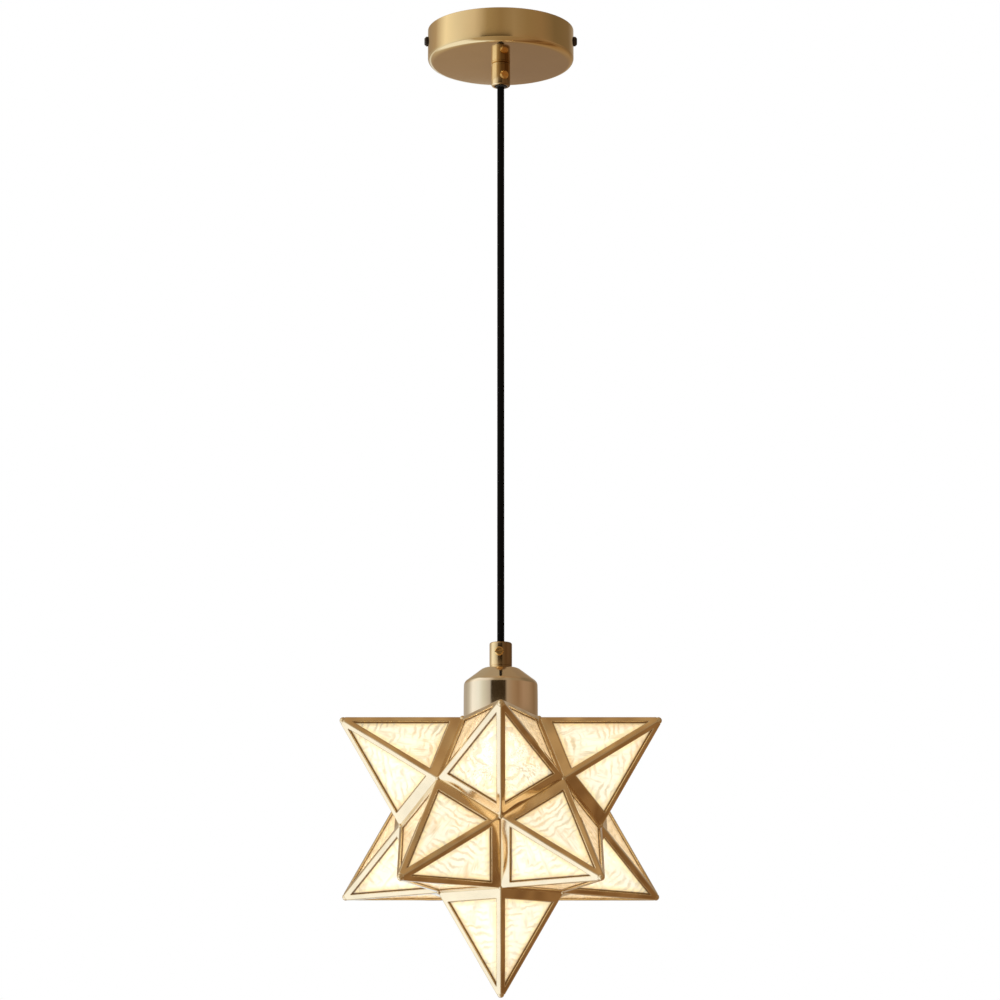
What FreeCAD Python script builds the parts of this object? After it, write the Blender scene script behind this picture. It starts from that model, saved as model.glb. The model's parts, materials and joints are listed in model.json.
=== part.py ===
import FreeCAD, Part
import math
import os

from FreeCAD import Placement, Rotation, Vector

# A star pendant lamp: ceiling fitting, taut cord, cord grip and cup, and a glass
# star of eleven points. Millimetres, +Z up. The origin is on the ceiling, in the
# middle of the fitting, and the front of the lamp faces -Y.

# ---- driving sizes: ceiling fitting -------------------------------------------
CANOPY_RADIUS = 50.0
CANOPY_HEIGHT = 24.0
CANOPY_WALL = 1.0
CANOPY_EDGE_ROUND = 3.5
SIDE_SCREW_DROP = 7.6          # from the ceiling down to the side screws
SIDE_SCREW_RADIUS = 2.0
SIDE_SCREW_LENGTH = 8.0
SIDE_HEAD_RADIUS = 3.35
SIDE_HEAD_HEIGHT = 2.4

BRACKET_METAL = 1.5
BRACKET_WIDTH = 16.0
BRACKET_EAR_DROP = 14.0
BRACKET_BEND = 2.0             # outside radius of the bend at each ear
BRACKET_GAP = 0.4              # between an ear's edges and the canopy's wall
CEILING_SLOT_SPACING = 50.0
CEILING_SLOT_WIDTH = 5.0
CEILING_SLOT_LENGTH = 12.0
EARTH_SCREW_INSET = 11.9       # from an ear's outer face to the earth screw
EARTH_SCREW_RADIUS = 2.0
EARTH_HEAD_RADIUS = 3.6
EARTH_HEAD_HEIGHT = 2.2
WING_REACH = 24.0              # the bracket's side wing, which holds the terminals

BLOCK_POLES = 3
BLOCK_PITCH = 8.5
BLOCK_DEPTH = 15.0
BLOCK_HEIGHT = 10.5
BLOCK_END_WALL = 1.6
BARREL_SIZE = 5.2
BARREL_BORE = 1.7
BARREL_LENGTH = 12.0
BARREL_DROP = 5.0              # from the block's top to the barrels' axes
TERMINAL_SCREW_RADIUS = 1.5
TERMINAL_SCREW_LENGTH = 3.6
TERMINAL_SCREW_PLACE = 3.6     # each side of the block's middle
SCREW_WELL_RADIUS = 1.8

# ---- driving sizes: cord and cord grips ---------------------------------------
CORD_RADIUS = 2.4
CORE_RADIUS = 0.85
CORE_RING = 1.05               # from the cord's middle to the middle of each core
CORE_BEND = 2.0                # bend radius of a core inside the canopy
TIGHT_CORE_BEND = 1.2          # bend radius of a core inside the lampholder
LEAD_RUN_UP = 3.4              # a lead's straight run before its terminal
CORE_TAIL_HEIGHT = 14.0        # from the ceiling down to the end of the cord's sheath
FLEX_HALF_LENGTH = 2.7         # half the short stretch that bends at the upper grip

NIPPLE_RADIUS = 5.0
NIPPLE_BORE = 3.0
NIPPLE_ABOVE_FLOOR = 7.5       # what stands up inside the canopy
NIPPLE_IN_GRIP = 5.0
NUT_ACROSS_FLATS = 14.0
NUT_THICKNESS = 3.0

UPPER_GRIP_RADIUS = 6.5
UPPER_GRIP_LENGTH = 16.0
LOWER_GRIP_RADIUS = 7.5
LOWER_GRIP_TOP = 426.4         # below the ceiling
LOWER_GRIP_LENGTH = 17.2
GRIP_EDGE_ROUND = 1.3
GRIP_LIP = 1.4                 # the turned-in end that keeps the bush in
BUSH_RADIUS = 4.9
BUSH_LENGTH = 9.5
BUSH_NOSE_RADIUS = 3.7
BUSH_NOSE_PROUD = 0.5
GRIP_SCREW_RADIUS = 1.5
GRIP_HEAD_RADIUS = 3.0
GRIP_HEAD_HEIGHT = 1.5
UPPER_GRIP_SCREW_TURN = 20.0   # degrees from the front, towards +X
UPPER_GRIP_SCREW_DROP = 9.5    # below the top of the upper grip
LOWER_GRIP_SCREW_TURN = -7.0
LOWER_GRIP_SCREW_DROP = 6.8    # below the top of the lower grip

# ---- driving sizes: cup, lampholder and bulb ----------------------------------
CUP_RADIUS = 24.6
CUP_WALL = 0.8
CUP_FLAT_RADIUS = 13.0
CUP_SHOULDER_DROP = 10.75      # from the cup's flat top to the end of its shoulder
CUP_HEIGHT = 37.9

HOLDER_RADIUS = 18.4
HOLDER_CAP_WALL = 1.0
HOLDER_CAP_HEIGHT = 9.0
HOLDER_CAP_SLOPE = 3.0         # the bevel round the top of the holder's cap
HOLDER_BOSS_RADIUS = 7.0
HOLDER_BOSS_DROP = 1.6
HOLDER_SPIGOT_HEIGHT = 2.4
SKIRT_RADIUS = 19.7            # over its thread
SKIRT_THREAD_RUN_OUT = 1.0     # thread left above the upper ring
SKIRT_BELOW_PLATE = 7.6
SKIRT_MOUTH_RADIUS = 17.4
SKIRT_MOUTH_DEPTH = 6.5
SKIRT_MOUTH_TAPER = 2.0
INSERT_RADIUS = 15.5
INSERT_THICKNESS = 3.0
INSERT_DROP = 8.3              # from the top of the holder's cap to the insert's top
SCREW_SHELL_BORE = 13.5
SCREW_SHELL_WALL = 0.6
SCREW_SHELL_LENGTH = 23.5
TONGUE_METAL = 0.4
TONGUE_WIDTH = 5.0
TONGUE_DROP = 1.6
TONGUE_START = 7.0             # behind the holder's axis
TONGUE_FOOT = 3.5
TONGUE_RAMP = 2.0
TONGUE_REACH = 3.5             # past the holder's axis
TERMINAL_POST_PLACE = 10.5
TERMINAL_POST_SIZE = 4.0
HOLDER_EARTH_PLACE = 11.0
SHADE_RING_RADIUS = 26.0
SHADE_RING_FLANGE = 2.2
SHADE_RING_COLLAR = 22.6
SHADE_RING_HEIGHT = 6.8
UPPER_RING_RADIUS = 22.0
UPPER_RING_HEIGHT = 4.5

BULB_LENGTH = 76.0
BULB_RADIUS = 22.5
BULB_CAP_RADIUS = 13.2
BULB_CAP_LENGTH = 21.0
BULB_CAP_WALL = 0.5
BULB_CAP_SLOPE = 2.0
BULB_CONTACT_RADIUS = 4.5
BULB_CONTACT_HEIGHT = 1.6
BULB_INSULATOR_HEIGHT = 3.4
BULB_INSULATOR_RIM = 1.0
BULB_COLLAR_RADIUS = 16.5
BULB_PLUG_LENGTH = 6.0
BULB_RECESS = 2.3
LED_BOARD_RADIUS = 13.5
LED_BOARD_THICKNESS = 1.2
LED_SIZE = 3.0
LED_HEIGHT = 0.8
LED_COUNT = 6
LED_RING = 8.5

# ---- driving sizes: star -------------------------------------------------------
STAR_RADIUS = 126.0            # centre to the sharp tip of a point
STRIP_METAL = 1.2
RIDGE_STRIP = 3.3              # each leaf of a folded strip along a ridge
VALLEY_STRIP = 6.7             # each leaf of a strip along a valley
RIDGE_ROUND = 0.9
TIP_BALL_RADIUS = 2.3
TIP_BALL_BACK = 4.9            # from the sharp tip back to the ball's centre
TIP_FILL = 7.5                 # the solder that fills the end of a point
PANE_THICKNESS = 2.0
PANE_RIDGE_INSET = 2.7
PANE_VALLEY_INSET = 4.5
CLIP_METAL = 0.5
CLIP_WIDTH = 4.0
CLIP_OVERLAP = 2.0
CLIP_SHIFT = 5.0               # clips on two sides of one ridge miss each other
PLATE_HOLE_CLEARANCE = 0.3

# ---- clearances -----------------------------------------------------------------
FIT_GAP = 0.05                 # a screw in its hole, a bush in its grip
THREAD_GAP = 0.1               # between two turned threads, modelled plain
MOVE_GAP = 0.3                 # between pieces that move past each other
SCREW_SLOT_WIDTH = 0.8
SCREW_SLOT_DEPTH = 0.7

# ---- levels and places worked out from the sizes --------------------------------
PHI_SHARE = 1 / math.sqrt(5)   # a star face's distance from the centre, over the radius
FACE_DISTANCE = STAR_RADIUS * PHI_SHARE
FLOOR_TOP = -(CANOPY_HEIGHT - CANOPY_WALL)
GRIP_SEAM = -CANOPY_HEIGHT
UPPER_GRIP_END = GRIP_SEAM - UPPER_GRIP_LENGTH
UPPER_BUSH_END = UPPER_GRIP_END - BUSH_NOSE_PROUD
FLEX_CENTRE = UPPER_BUSH_END - FLEX_HALF_LENGTH
LOWER_BUSH_TOP = -LOWER_GRIP_TOP + BUSH_NOSE_PROUD
CUP_TOP = -LOWER_GRIP_TOP - LOWER_GRIP_LENGTH
NUT_TOP = CUP_TOP - CUP_WALL
HOLDER_TOP = NUT_TOP - NUT_THICKNESS
LOWER_NIPPLE_END = HOLDER_TOP - HOLDER_CAP_WALL - HOLDER_BOSS_DROP
STAR_TOP = CUP_TOP - CUP_HEIGHT
STAR_CENTRE = Vector(0, 0, STAR_TOP - FACE_DISTANCE)
INSERT_TOP = HOLDER_TOP - INSERT_DROP
INSERT_BASE = INSERT_TOP - INSERT_THICKNESS
BULB_TIP = INSERT_BASE - TONGUE_DROP - MOVE_GAP
RING_TOP = STAR_TOP - STRIP_METAL

UP = Vector(0, 0, 1)
DOWN = Vector(0, 0, -1)


# ---- small builders ---------------------------------------------------------------
def cylinder(radius, top, bottom, x=0.0, y=0.0):
    """An upright cylinder between two heights."""
    return Part.makeCylinder(radius, top - bottom, Vector(x, y, bottom), UP)


def tube(radius, bore, top, bottom, x=0.0, y=0.0):
    return cylinder(radius, top, bottom, x, y).cut(cylinder(bore, top, bottom, x, y))


def block(size_x, size_y, top, bottom, x=0.0, y=0.0):
    """An upright box whose plan is centred on x, y."""
    corner = Vector(x - size_x / 2, y - size_y / 2, bottom)
    return Part.makeBox(size_x, size_y, top - bottom, corner)


def turned(start, *steps):
    """A solid turned about Z from (radius, height) points.

    A step of two numbers is a line to that point. A step of four is an arc to
    the first two, through the last two.
    """
    edges = []
    here = Vector(start[0], 0, start[1])
    for step in steps + (start,):
        there = Vector(step[0], 0, step[1])
        if len(step) == 4:
            through = Vector(step[2], 0, step[3])
            edges.append(Part.Arc(here, through, there).toShape())
        else:
            edges.append(Part.LineSegment(here, there).toShape())
        here = there
    return Part.Face(Part.Wire(edges)).revolve(Vector(), UP, 360)


def arc_point(centre_r, centre_z, radius, degrees):
    """A point of a circle in the (radius, height) plane, as a pair."""
    turn = math.radians(degrees)
    return (centre_r + radius * math.cos(turn), centre_z + radius * math.sin(turn))


def hexagon_nut(across_flats, bore, top, bottom):
    corner = across_flats / math.sqrt(3)
    points = []
    for k in range(7):
        turn = math.radians(60 * k)
        points.append(Vector(corner * math.cos(turn), corner * math.sin(turn), bottom))
    body = Part.Face(Part.makePolygon(points)).extrude(Vector(0, 0, top - bottom))
    return body.cut(cylinder(bore, top, bottom))


def placed(shape, origin, axis):
    """The shape with its own +Z laid along an axis and its origin moved."""
    moved = shape.copy()
    moved.Placement = Placement(origin, Rotation(UP, axis))
    return moved


def slotted_screw(shank_radius, length, head_radius, head_height):
    """A pan-head screw along Z: the head above 0, the shank below it."""
    edge = head_height / 2
    head = turned(
        (0, 0),
        (head_radius, 0),
        (head_radius, head_height - edge),
        (head_radius - edge, head_height),
        (0, head_height),
    )
    slot = block(3 * head_radius, SCREW_SLOT_WIDTH, 2 * head_height, head_height - SCREW_SLOT_DEPTH)
    shank = cylinder(shank_radius, 0, -length)
    return head.cut(slot).fuse(shank).removeSplitter()


def compass(turn):
    """The level direction that many degrees from the front, towards +X."""
    angle = math.radians(turn)
    return Vector(math.sin(angle), -math.cos(angle), 0)


def bent_wire(points, radius, bend):
    """A round wire along straight runs joined by tangent arcs."""
    runs = []
    here = points[0]
    for before, corner, after in zip(points, points[1:], points[2:]):
        inward = (before - corner).normalize()
        outward = (after - corner).normalize()
        turn = math.pi - inward.getAngle(outward)
        setback = bend * math.tan(turn / 2)
        first = corner + inward * setback
        to_centre = (outward - inward * outward.dot(inward)).normalize()
        bend_axis = to_centre.cross(inward)
        runs.append(straight_wire(here, first, radius))
        disc = Part.Face(Part.Wire(Part.makeCircle(radius, first, inward)))
        runs.append(disc.revolve(first + to_centre * bend, bend_axis, math.degrees(turn)))
        here = corner + outward * setback
    runs.append(straight_wire(here, points[-1], radius))
    return runs[0].fuse(runs[1:]).removeSplitter()


def straight_wire(start, end, radius):
    return Part.makeCylinder(radius, (end - start).Length, start, end - start)


def grouped(shapes):
    return Part.makeCompound(shapes)


# ---- ceiling fitting -----------------------------------------------------------------
def canopy_shell():
    outer = CANOPY_RADIUS
    inner = CANOPY_RADIUS - CANOPY_WALL
    edge = CANOPY_EDGE_ROUND
    inner_edge = edge - CANOPY_WALL
    bore = NIPPLE_RADIUS + FIT_GAP
    shell = turned(
        (bore, GRIP_SEAM),
        (outer - edge, GRIP_SEAM),
        (outer, GRIP_SEAM + edge) + arc_point(outer - edge, GRIP_SEAM + edge, edge, -45),
        (outer, 0),
        (inner, 0),
        (inner, FLOOR_TOP + inner_edge),
        (inner - inner_edge, FLOOR_TOP),
        (bore, FLOOR_TOP),
    )
    across = Part.makeCylinder(
        SIDE_SCREW_RADIUS + FIT_GAP,
        4 * outer,
        Vector(-2 * outer, 0, -SIDE_SCREW_DROP),
        Vector(1, 0, 0),
    )
    return shell.cut(across)


def bracket_ear_face():
    """How far from the middle the outer face of each ear lies."""
    inner_wall = CANOPY_RADIUS - CANOPY_WALL
    return math.sqrt(inner_wall ** 2 - (BRACKET_WIDTH / 2) ** 2) - BRACKET_GAP


def earth_screw_place():
    """How far from the middle the earth screw stands."""
    return bracket_ear_face() - EARTH_SCREW_INSET


def ceiling_bracket():
    """A flat strap with two bent ears, and a side wing for the terminals."""
    reach = bracket_ear_face()
    strap = block(2 * reach, BRACKET_WIDTH, 0, -BRACKET_EAR_DROP)
    hollow = block(
        2 * (reach - BRACKET_METAL),
        2 * BRACKET_WIDTH,
        -BRACKET_METAL,
        -2 * BRACKET_EAR_DROP,
    )
    body = strap.cut(hollow)
    bends = []
    for edge in body.Edges:
        ends = edge.BoundBox
        if ends.YLength > BRACKET_WIDTH / 2 and ends.ZMin > -1e-6 and abs(ends.XMin) > reach - 1e-6:
            bends.append(edge)
    body = body.makeFillet(BRACKET_BEND, bends)
    wing = block(
        BLOCK_POLES * BLOCK_PITCH + 2 * BLOCK_END_WALL,
        WING_REACH,
        0,
        -BRACKET_METAL,
        0,
        WING_REACH / 2,
    )
    body = body.fuse(wing).removeSplitter()
    for side in (-1, 1):
        body = body.cut(ceiling_slot(side * CEILING_SLOT_SPACING / 2))
    body = body.cut(
        Part.makeCylinder(
            SIDE_SCREW_RADIUS + FIT_GAP,
            4 * reach,
            Vector(-2 * reach, 0, -SIDE_SCREW_DROP),
            Vector(1, 0, 0),
        )
    )
    earth_hole = cylinder(
        EARTH_SCREW_RADIUS + FIT_GAP, BRACKET_METAL, -2 * BRACKET_METAL, earth_screw_place(), 0)
    return body.cut(earth_hole)


def ceiling_slot(x):
    """The cutter for one slotted ceiling hole, long along X."""
    half = (CEILING_SLOT_LENGTH - CEILING_SLOT_WIDTH) / 2
    radius = CEILING_SLOT_WIDTH / 2
    depth = 2 * BRACKET_METAL
    middle = block(2 * half, CEILING_SLOT_WIDTH, depth, -depth, x, 0)
    left = cylinder(radius, depth, -depth, x - half, 0)
    right = cylinder(radius, depth, -depth, x + half, 0)
    return middle.fuse([left, right])


def canopy_side_screws():
    screw = slotted_screw(
        SIDE_SCREW_RADIUS, SIDE_SCREW_LENGTH, SIDE_HEAD_RADIUS, SIDE_HEAD_HEIGHT)
    screws = []
    for side in (-1, 1):
        seat = Vector(side * CANOPY_RADIUS, 0, -SIDE_SCREW_DROP)
        screws.append(placed(screw, seat, Vector(side, 0, 0)))
    return grouped(screws)


def earth_screw():
    """The screw for the earth wire, its end flush with the top of the bracket."""
    screw = slotted_screw(
        EARTH_SCREW_RADIUS, BRACKET_METAL, EARTH_HEAD_RADIUS, EARTH_HEAD_HEIGHT)
    return placed(screw, Vector(earth_screw_place(), 0, -BRACKET_METAL), DOWN)


def block_middle():
    """How far behind the middle of the bracket the terminals' middle lies."""
    return WING_REACH - BLOCK_DEPTH / 2


def pole_places():
    first = -(BLOCK_POLES - 1) / 2 * BLOCK_PITCH
    return [first + k * BLOCK_PITCH for k in range(BLOCK_POLES)]


def barrel_level():
    return -BRACKET_METAL - BARREL_DROP


def terminal_screw_places():
    places = []
    for x in pole_places():
        for side in (-1, 1):
            places.append((x, block_middle() + side * TERMINAL_SCREW_PLACE))
    return places


def pole_bar(length, x):
    """A square bar along Y through one pole, as wide as its brass block."""
    return block(
        BARREL_SIZE, length, barrel_level() + BARREL_SIZE / 2, barrel_level() - BARREL_SIZE / 2,
        x, block_middle())


def terminal_block():
    """The plastic body, with a tunnel for each brass block and a well for each screw."""
    top = -BRACKET_METAL
    bottom = top - BLOCK_HEIGHT
    width = BLOCK_POLES * BLOCK_PITCH + 2 * BLOCK_END_WALL
    body = block(width, BLOCK_DEPTH, top, bottom, 0, block_middle())
    for x in pole_places():
        body = body.cut(pole_bar(2 * BLOCK_DEPTH, x))
    for x, y in terminal_screw_places():
        body = body.cut(cylinder(SCREW_WELL_RADIUS, barrel_level(), bottom, x, y))
    return body


def terminal_barrels():
    """The square brass blocks, bored for the wires."""
    barrels = []
    for x in pole_places():
        start = Vector(x, block_middle() - BARREL_LENGTH, barrel_level())
        bore = Part.makeCylinder(BARREL_BORE, 2 * BARREL_LENGTH, start, Vector(0, 1, 0))
        barrel = pole_bar(BARREL_LENGTH, x).cut(bore)
        for side in (-1, 1):
            y = block_middle() + side * TERMINAL_SCREW_PLACE
            hole = cylinder(
                TERMINAL_SCREW_RADIUS + FIT_GAP, barrel_level(), barrel_level() - BARREL_SIZE, x, y)
            barrel = barrel.cut(hole)
        barrels.append(barrel)
    return grouped(barrels)


def terminal_screws():
    """Grub screws that reach from their wells to the wires in the barrels."""
    top = barrel_level() - CORE_RADIUS
    screws = []
    for x, y in terminal_screw_places():
        bottom = top - TERMINAL_SCREW_LENGTH
        screw = cylinder(TERMINAL_SCREW_RADIUS, top, bottom, x, y)
        slot = block(
            4 * TERMINAL_SCREW_RADIUS, SCREW_SLOT_WIDTH, bottom + SCREW_SLOT_DEPTH, bottom - 1, x, y)
        screws.append(screw.cut(slot))
    return grouped(screws)


def canopy_nipple():
    top = FLOOR_TOP + NIPPLE_ABOVE_FLOOR
    return tube(NIPPLE_RADIUS, NIPPLE_BORE, top, GRIP_SEAM - NIPPLE_IN_GRIP)


def canopy_lock_nut():
    return hexagon_nut(
        NUT_ACROSS_FLATS, NIPPLE_RADIUS + FIT_GAP, FLOOR_TOP + NUT_THICKNESS, FLOOR_TOP)


# ---- cord grips ------------------------------------------------------------------------
def grip_body(radius, mouth, seam, screw_level, screw_way):
    """A turned grip: its mouth, with the lip, at one height and its seam at the other."""
    way = 1 if seam > mouth else -1
    edge = GRIP_EDGE_ROUND
    lip_end = mouth + way * GRIP_LIP
    bush_end = mouth + way * (GRIP_LIP + BUSH_LENGTH)
    nose_bore = BUSH_NOSE_RADIUS + FIT_GAP
    body = turned(
        (nose_bore, mouth),
        (radius - edge, mouth),
        (radius, mouth + way * edge) + arc_point(
            radius - edge, mouth + way * edge, edge, -45 * way),
        (radius, seam),
        (NIPPLE_RADIUS + FIT_GAP, seam),
        (NIPPLE_RADIUS + FIT_GAP, bush_end),
        (BUSH_RADIUS + FIT_GAP, bush_end),
        (BUSH_RADIUS + FIT_GAP, lip_end),
        (nose_bore, lip_end),
    )
    hole = Part.makeCylinder(
        GRIP_SCREW_RADIUS + FIT_GAP, 2 * radius, Vector(0, 0, screw_level), screw_way)
    return body.cut(hole)


def grip_bush(mouth, seam, screw_level, screw_way):
    """The nylon bush that hugs the cord inside a grip, its nose a little proud."""
    way = 1 if seam > mouth else -1
    lip_end = mouth + way * GRIP_LIP
    body = turned(
        (CORD_RADIUS, mouth - way * BUSH_NOSE_PROUD),
        (BUSH_NOSE_RADIUS, mouth - way * BUSH_NOSE_PROUD),
        (BUSH_NOSE_RADIUS, lip_end),
        (BUSH_RADIUS, lip_end),
        (BUSH_RADIUS, lip_end + way * BUSH_LENGTH),
        (CORD_RADIUS, lip_end + way * BUSH_LENGTH),
    )
    hole = Part.makeCylinder(
        GRIP_SCREW_RADIUS + FIT_GAP, 3 * BUSH_RADIUS, Vector(0, 0, screw_level), screw_way)
    return body.cut(hole)


def grip_screw(radius, screw_level, screw_way):
    """The side screw that reaches through grip and bush to the cord."""
    length = radius - CORD_RADIUS - FIT_GAP
    screw = slotted_screw(GRIP_SCREW_RADIUS, length, GRIP_HEAD_RADIUS, GRIP_HEAD_HEIGHT)
    return placed(screw, screw_way * radius + Vector(0, 0, screw_level), screw_way)


def upper_screw_level():
    return GRIP_SEAM - UPPER_GRIP_SCREW_DROP


def lower_screw_level():
    return -LOWER_GRIP_TOP - LOWER_GRIP_SCREW_DROP


def canopy_cord_grip():
    return grip_body(
        UPPER_GRIP_RADIUS, UPPER_GRIP_END, GRIP_SEAM, upper_screw_level(),
        compass(UPPER_GRIP_SCREW_TURN))


def canopy_grip_bush():
    return grip_bush(
        UPPER_GRIP_END, GRIP_SEAM, upper_screw_level(), compass(UPPER_GRIP_SCREW_TURN))


def canopy_grip_screw():
    return grip_screw(UPPER_GRIP_RADIUS, upper_screw_level(), compass(UPPER_GRIP_SCREW_TURN))


def lamp_cord_grip():
    return grip_body(
        LOWER_GRIP_RADIUS, -LOWER_GRIP_TOP, CUP_TOP, lower_screw_level(),
        compass(LOWER_GRIP_SCREW_TURN))


def lamp_grip_bush():
    return grip_bush(
        -LOWER_GRIP_TOP, CUP_TOP, lower_screw_level(), compass(LOWER_GRIP_SCREW_TURN))


def lamp_grip_screw():
    return grip_screw(LOWER_GRIP_RADIUS, lower_screw_level(), compass(LOWER_GRIP_SCREW_TURN))


# ---- cord and leads ------------------------------------------------------------------------
def core_places():
    """Where the three cores lie in the cord: live, neutral and earth."""
    places = []
    for turn in (-120, 120, 0):
        angle = math.radians(turn)
        places.append((CORE_RING * math.sin(angle), CORE_RING * math.cos(angle)))
    return places


def canopy_cord_tail():
    """The sheathed cord inside the upper grip and the canopy."""
    return cylinder(CORD_RADIUS, -CORE_TAIL_HEIGHT, UPPER_BUSH_END)


def cord_bend():
    """The short stretch that bends where the cord leaves the upper grip."""
    return Part.makeSphere(CORD_RADIUS, Vector(0, 0, FLEX_CENTRE))


def cord():
    """The free stretch of cord: straight, because the star hangs from it."""
    return cylinder(CORD_RADIUS, FLEX_CENTRE - FLEX_HALF_LENGTH, LOWER_BUSH_TOP)


def lamp_cord_tail():
    """The sheathed cord inside the lower grip and nipple."""
    return cylinder(CORD_RADIUS, LOWER_BUSH_TOP, LOWER_NIPPLE_END)


def supply_lead(pole):
    """One core, from the end of the sheath to its terminal."""
    core_x, core_y = core_places()[pole]
    pole_x = (pole_places()[0], pole_places()[-1], 0)[pole]
    front = block_middle() - BLOCK_DEPTH / 2
    points = [
        Vector(core_x, core_y, -CORE_TAIL_HEIGHT),
        Vector(core_x, core_y, barrel_level()),
        Vector(pole_x, front - LEAD_RUN_UP, barrel_level()),
        Vector(pole_x, block_middle() - TERMINAL_SCREW_PLACE + TERMINAL_SCREW_RADIUS, barrel_level()),
    ]
    if abs(pole_x - core_x) < CORE_RADIUS:
        points.pop(2)
    return bent_wire(points, CORE_RADIUS, CORE_BEND)


def lamp_lead(pole):
    """One core inside the lampholder, from the sheath's end out to its terminal."""
    core_x, core_y = core_places()[pole]
    level = (LOWER_NIPPLE_END + INSERT_TOP) / 2 - CORE_RADIUS
    reach = TERMINAL_POST_PLACE - TERMINAL_POST_SIZE / 2
    under_screw = HOLDER_TOP - HOLDER_CAP_WALL - GRIP_HEAD_HEIGHT - FIT_GAP
    routes = (
        [Vector(-reach, core_y, level)],
        [Vector(reach, core_y, level)],
        [Vector(core_x, HOLDER_EARTH_PLACE, level), Vector(core_x, HOLDER_EARTH_PLACE, under_screw)],
    )
    start = [Vector(core_x, core_y, LOWER_NIPPLE_END), Vector(core_x, core_y, level)]
    return bent_wire(start + routes[pole], CORE_RADIUS, TIGHT_CORE_BEND)


# ---- cup and lampholder ------------------------------------------------------------------------
def lamp_nipple():
    return tube(NIPPLE_RADIUS, NIPPLE_BORE, CUP_TOP + NIPPLE_IN_GRIP, LOWER_NIPPLE_END)


def lamp_lock_nut():
    return hexagon_nut(NUT_ACROSS_FLATS, NIPPLE_RADIUS + FIT_GAP, NUT_TOP, HOLDER_TOP)


def socket_cup():
    """A spun cup with a flat top, a sloping shoulder and a straight wall."""
    crease = CUP_TOP - CUP_SHOULDER_DROP
    bore = NIPPLE_RADIUS + FIT_GAP
    return turned(
        (bore, CUP_TOP),
        (CUP_FLAT_RADIUS, CUP_TOP),
        (CUP_RADIUS, crease),
        (CUP_RADIUS, STAR_TOP),
        (CUP_RADIUS - CUP_WALL, STAR_TOP),
        (CUP_RADIUS - CUP_WALL, crease),
        (CUP_FLAT_RADIUS - CUP_WALL / 2, NUT_TOP),
        (bore, NUT_TOP),
    )


def holder_joint():
    """The level where the holder's cap meets its skirt."""
    return HOLDER_TOP - HOLDER_CAP_HEIGHT


def lampholder_cap():
    inside = HOLDER_RADIUS - HOLDER_CAP_WALL
    under = HOLDER_TOP - HOLDER_CAP_WALL
    bore = NIPPLE_RADIUS + FIT_GAP
    inner_slope = HOLDER_CAP_SLOPE - HOLDER_CAP_WALL / 2
    cap = turned(
        (bore, HOLDER_TOP),
        (HOLDER_RADIUS - HOLDER_CAP_SLOPE, HOLDER_TOP),
        (HOLDER_RADIUS, HOLDER_TOP - HOLDER_CAP_SLOPE),
        (HOLDER_RADIUS, holder_joint()),
        (inside, holder_joint()),
        (inside, under - inner_slope),
        (inside - inner_slope, under),
        (HOLDER_BOSS_RADIUS, under),
        (HOLDER_BOSS_RADIUS, LOWER_NIPPLE_END),
        (bore, LOWER_NIPPLE_END),
    )
    hole = cylinder(GRIP_SCREW_RADIUS + FIT_GAP, HOLDER_TOP + 1, under - 1, 0, HOLDER_EARTH_PLACE)
    return cap.cut(hole)


def lampholder_earth_screw():
    screw = slotted_screw(GRIP_SCREW_RADIUS, HOLDER_CAP_WALL, GRIP_HEAD_RADIUS, GRIP_HEAD_HEIGHT)
    seat = Vector(0, HOLDER_EARTH_PLACE, HOLDER_TOP - HOLDER_CAP_WALL)
    return placed(screw, seat, DOWN)


def lampholder_insert():
    """The ceramic disc that carries the terminals, shell and contact."""
    return cylinder(INSERT_RADIUS, INSERT_TOP, INSERT_BASE)


def lampholder_terminals():
    """A brass post for live and one for neutral."""
    posts = []
    size = TERMINAL_POST_SIZE
    for side in (-1, 1):
        x = side * TERMINAL_POST_PLACE
        posts.append(block(size, size, INSERT_TOP + size, INSERT_TOP, x, core_places()[0][1]))
    return grouped(posts)


def lampholder_screw_shell():
    return tube(
        SCREW_SHELL_BORE + SCREW_SHELL_WALL, SCREW_SHELL_BORE,
        INSERT_BASE, INSERT_BASE - SCREW_SHELL_LENGTH)


def lampholder_contact():
    """The sprung tongue that presses on the bulb's contact."""
    rise = TONGUE_DROP - TONGUE_METAL
    foot_end = TONGUE_FOOT - TONGUE_START
    points = [
        Vector(-TONGUE_START, 0, 0),
        Vector(foot_end, 0, 0),
        Vector(foot_end + TONGUE_RAMP, 0, -rise),
        Vector(TONGUE_REACH, 0, -rise),
    ]
    lower = [point + Vector(0, 0, -TONGUE_METAL) for point in reversed(points)]
    outline = Part.makePolygon(points + lower + points[:1])
    tongue = Part.Face(outline).extrude(Vector(0, TONGUE_WIDTH, 0))
    tongue.translate(Vector(0, -TONGUE_WIDTH / 2, INSERT_BASE))
    return tongue


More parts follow.
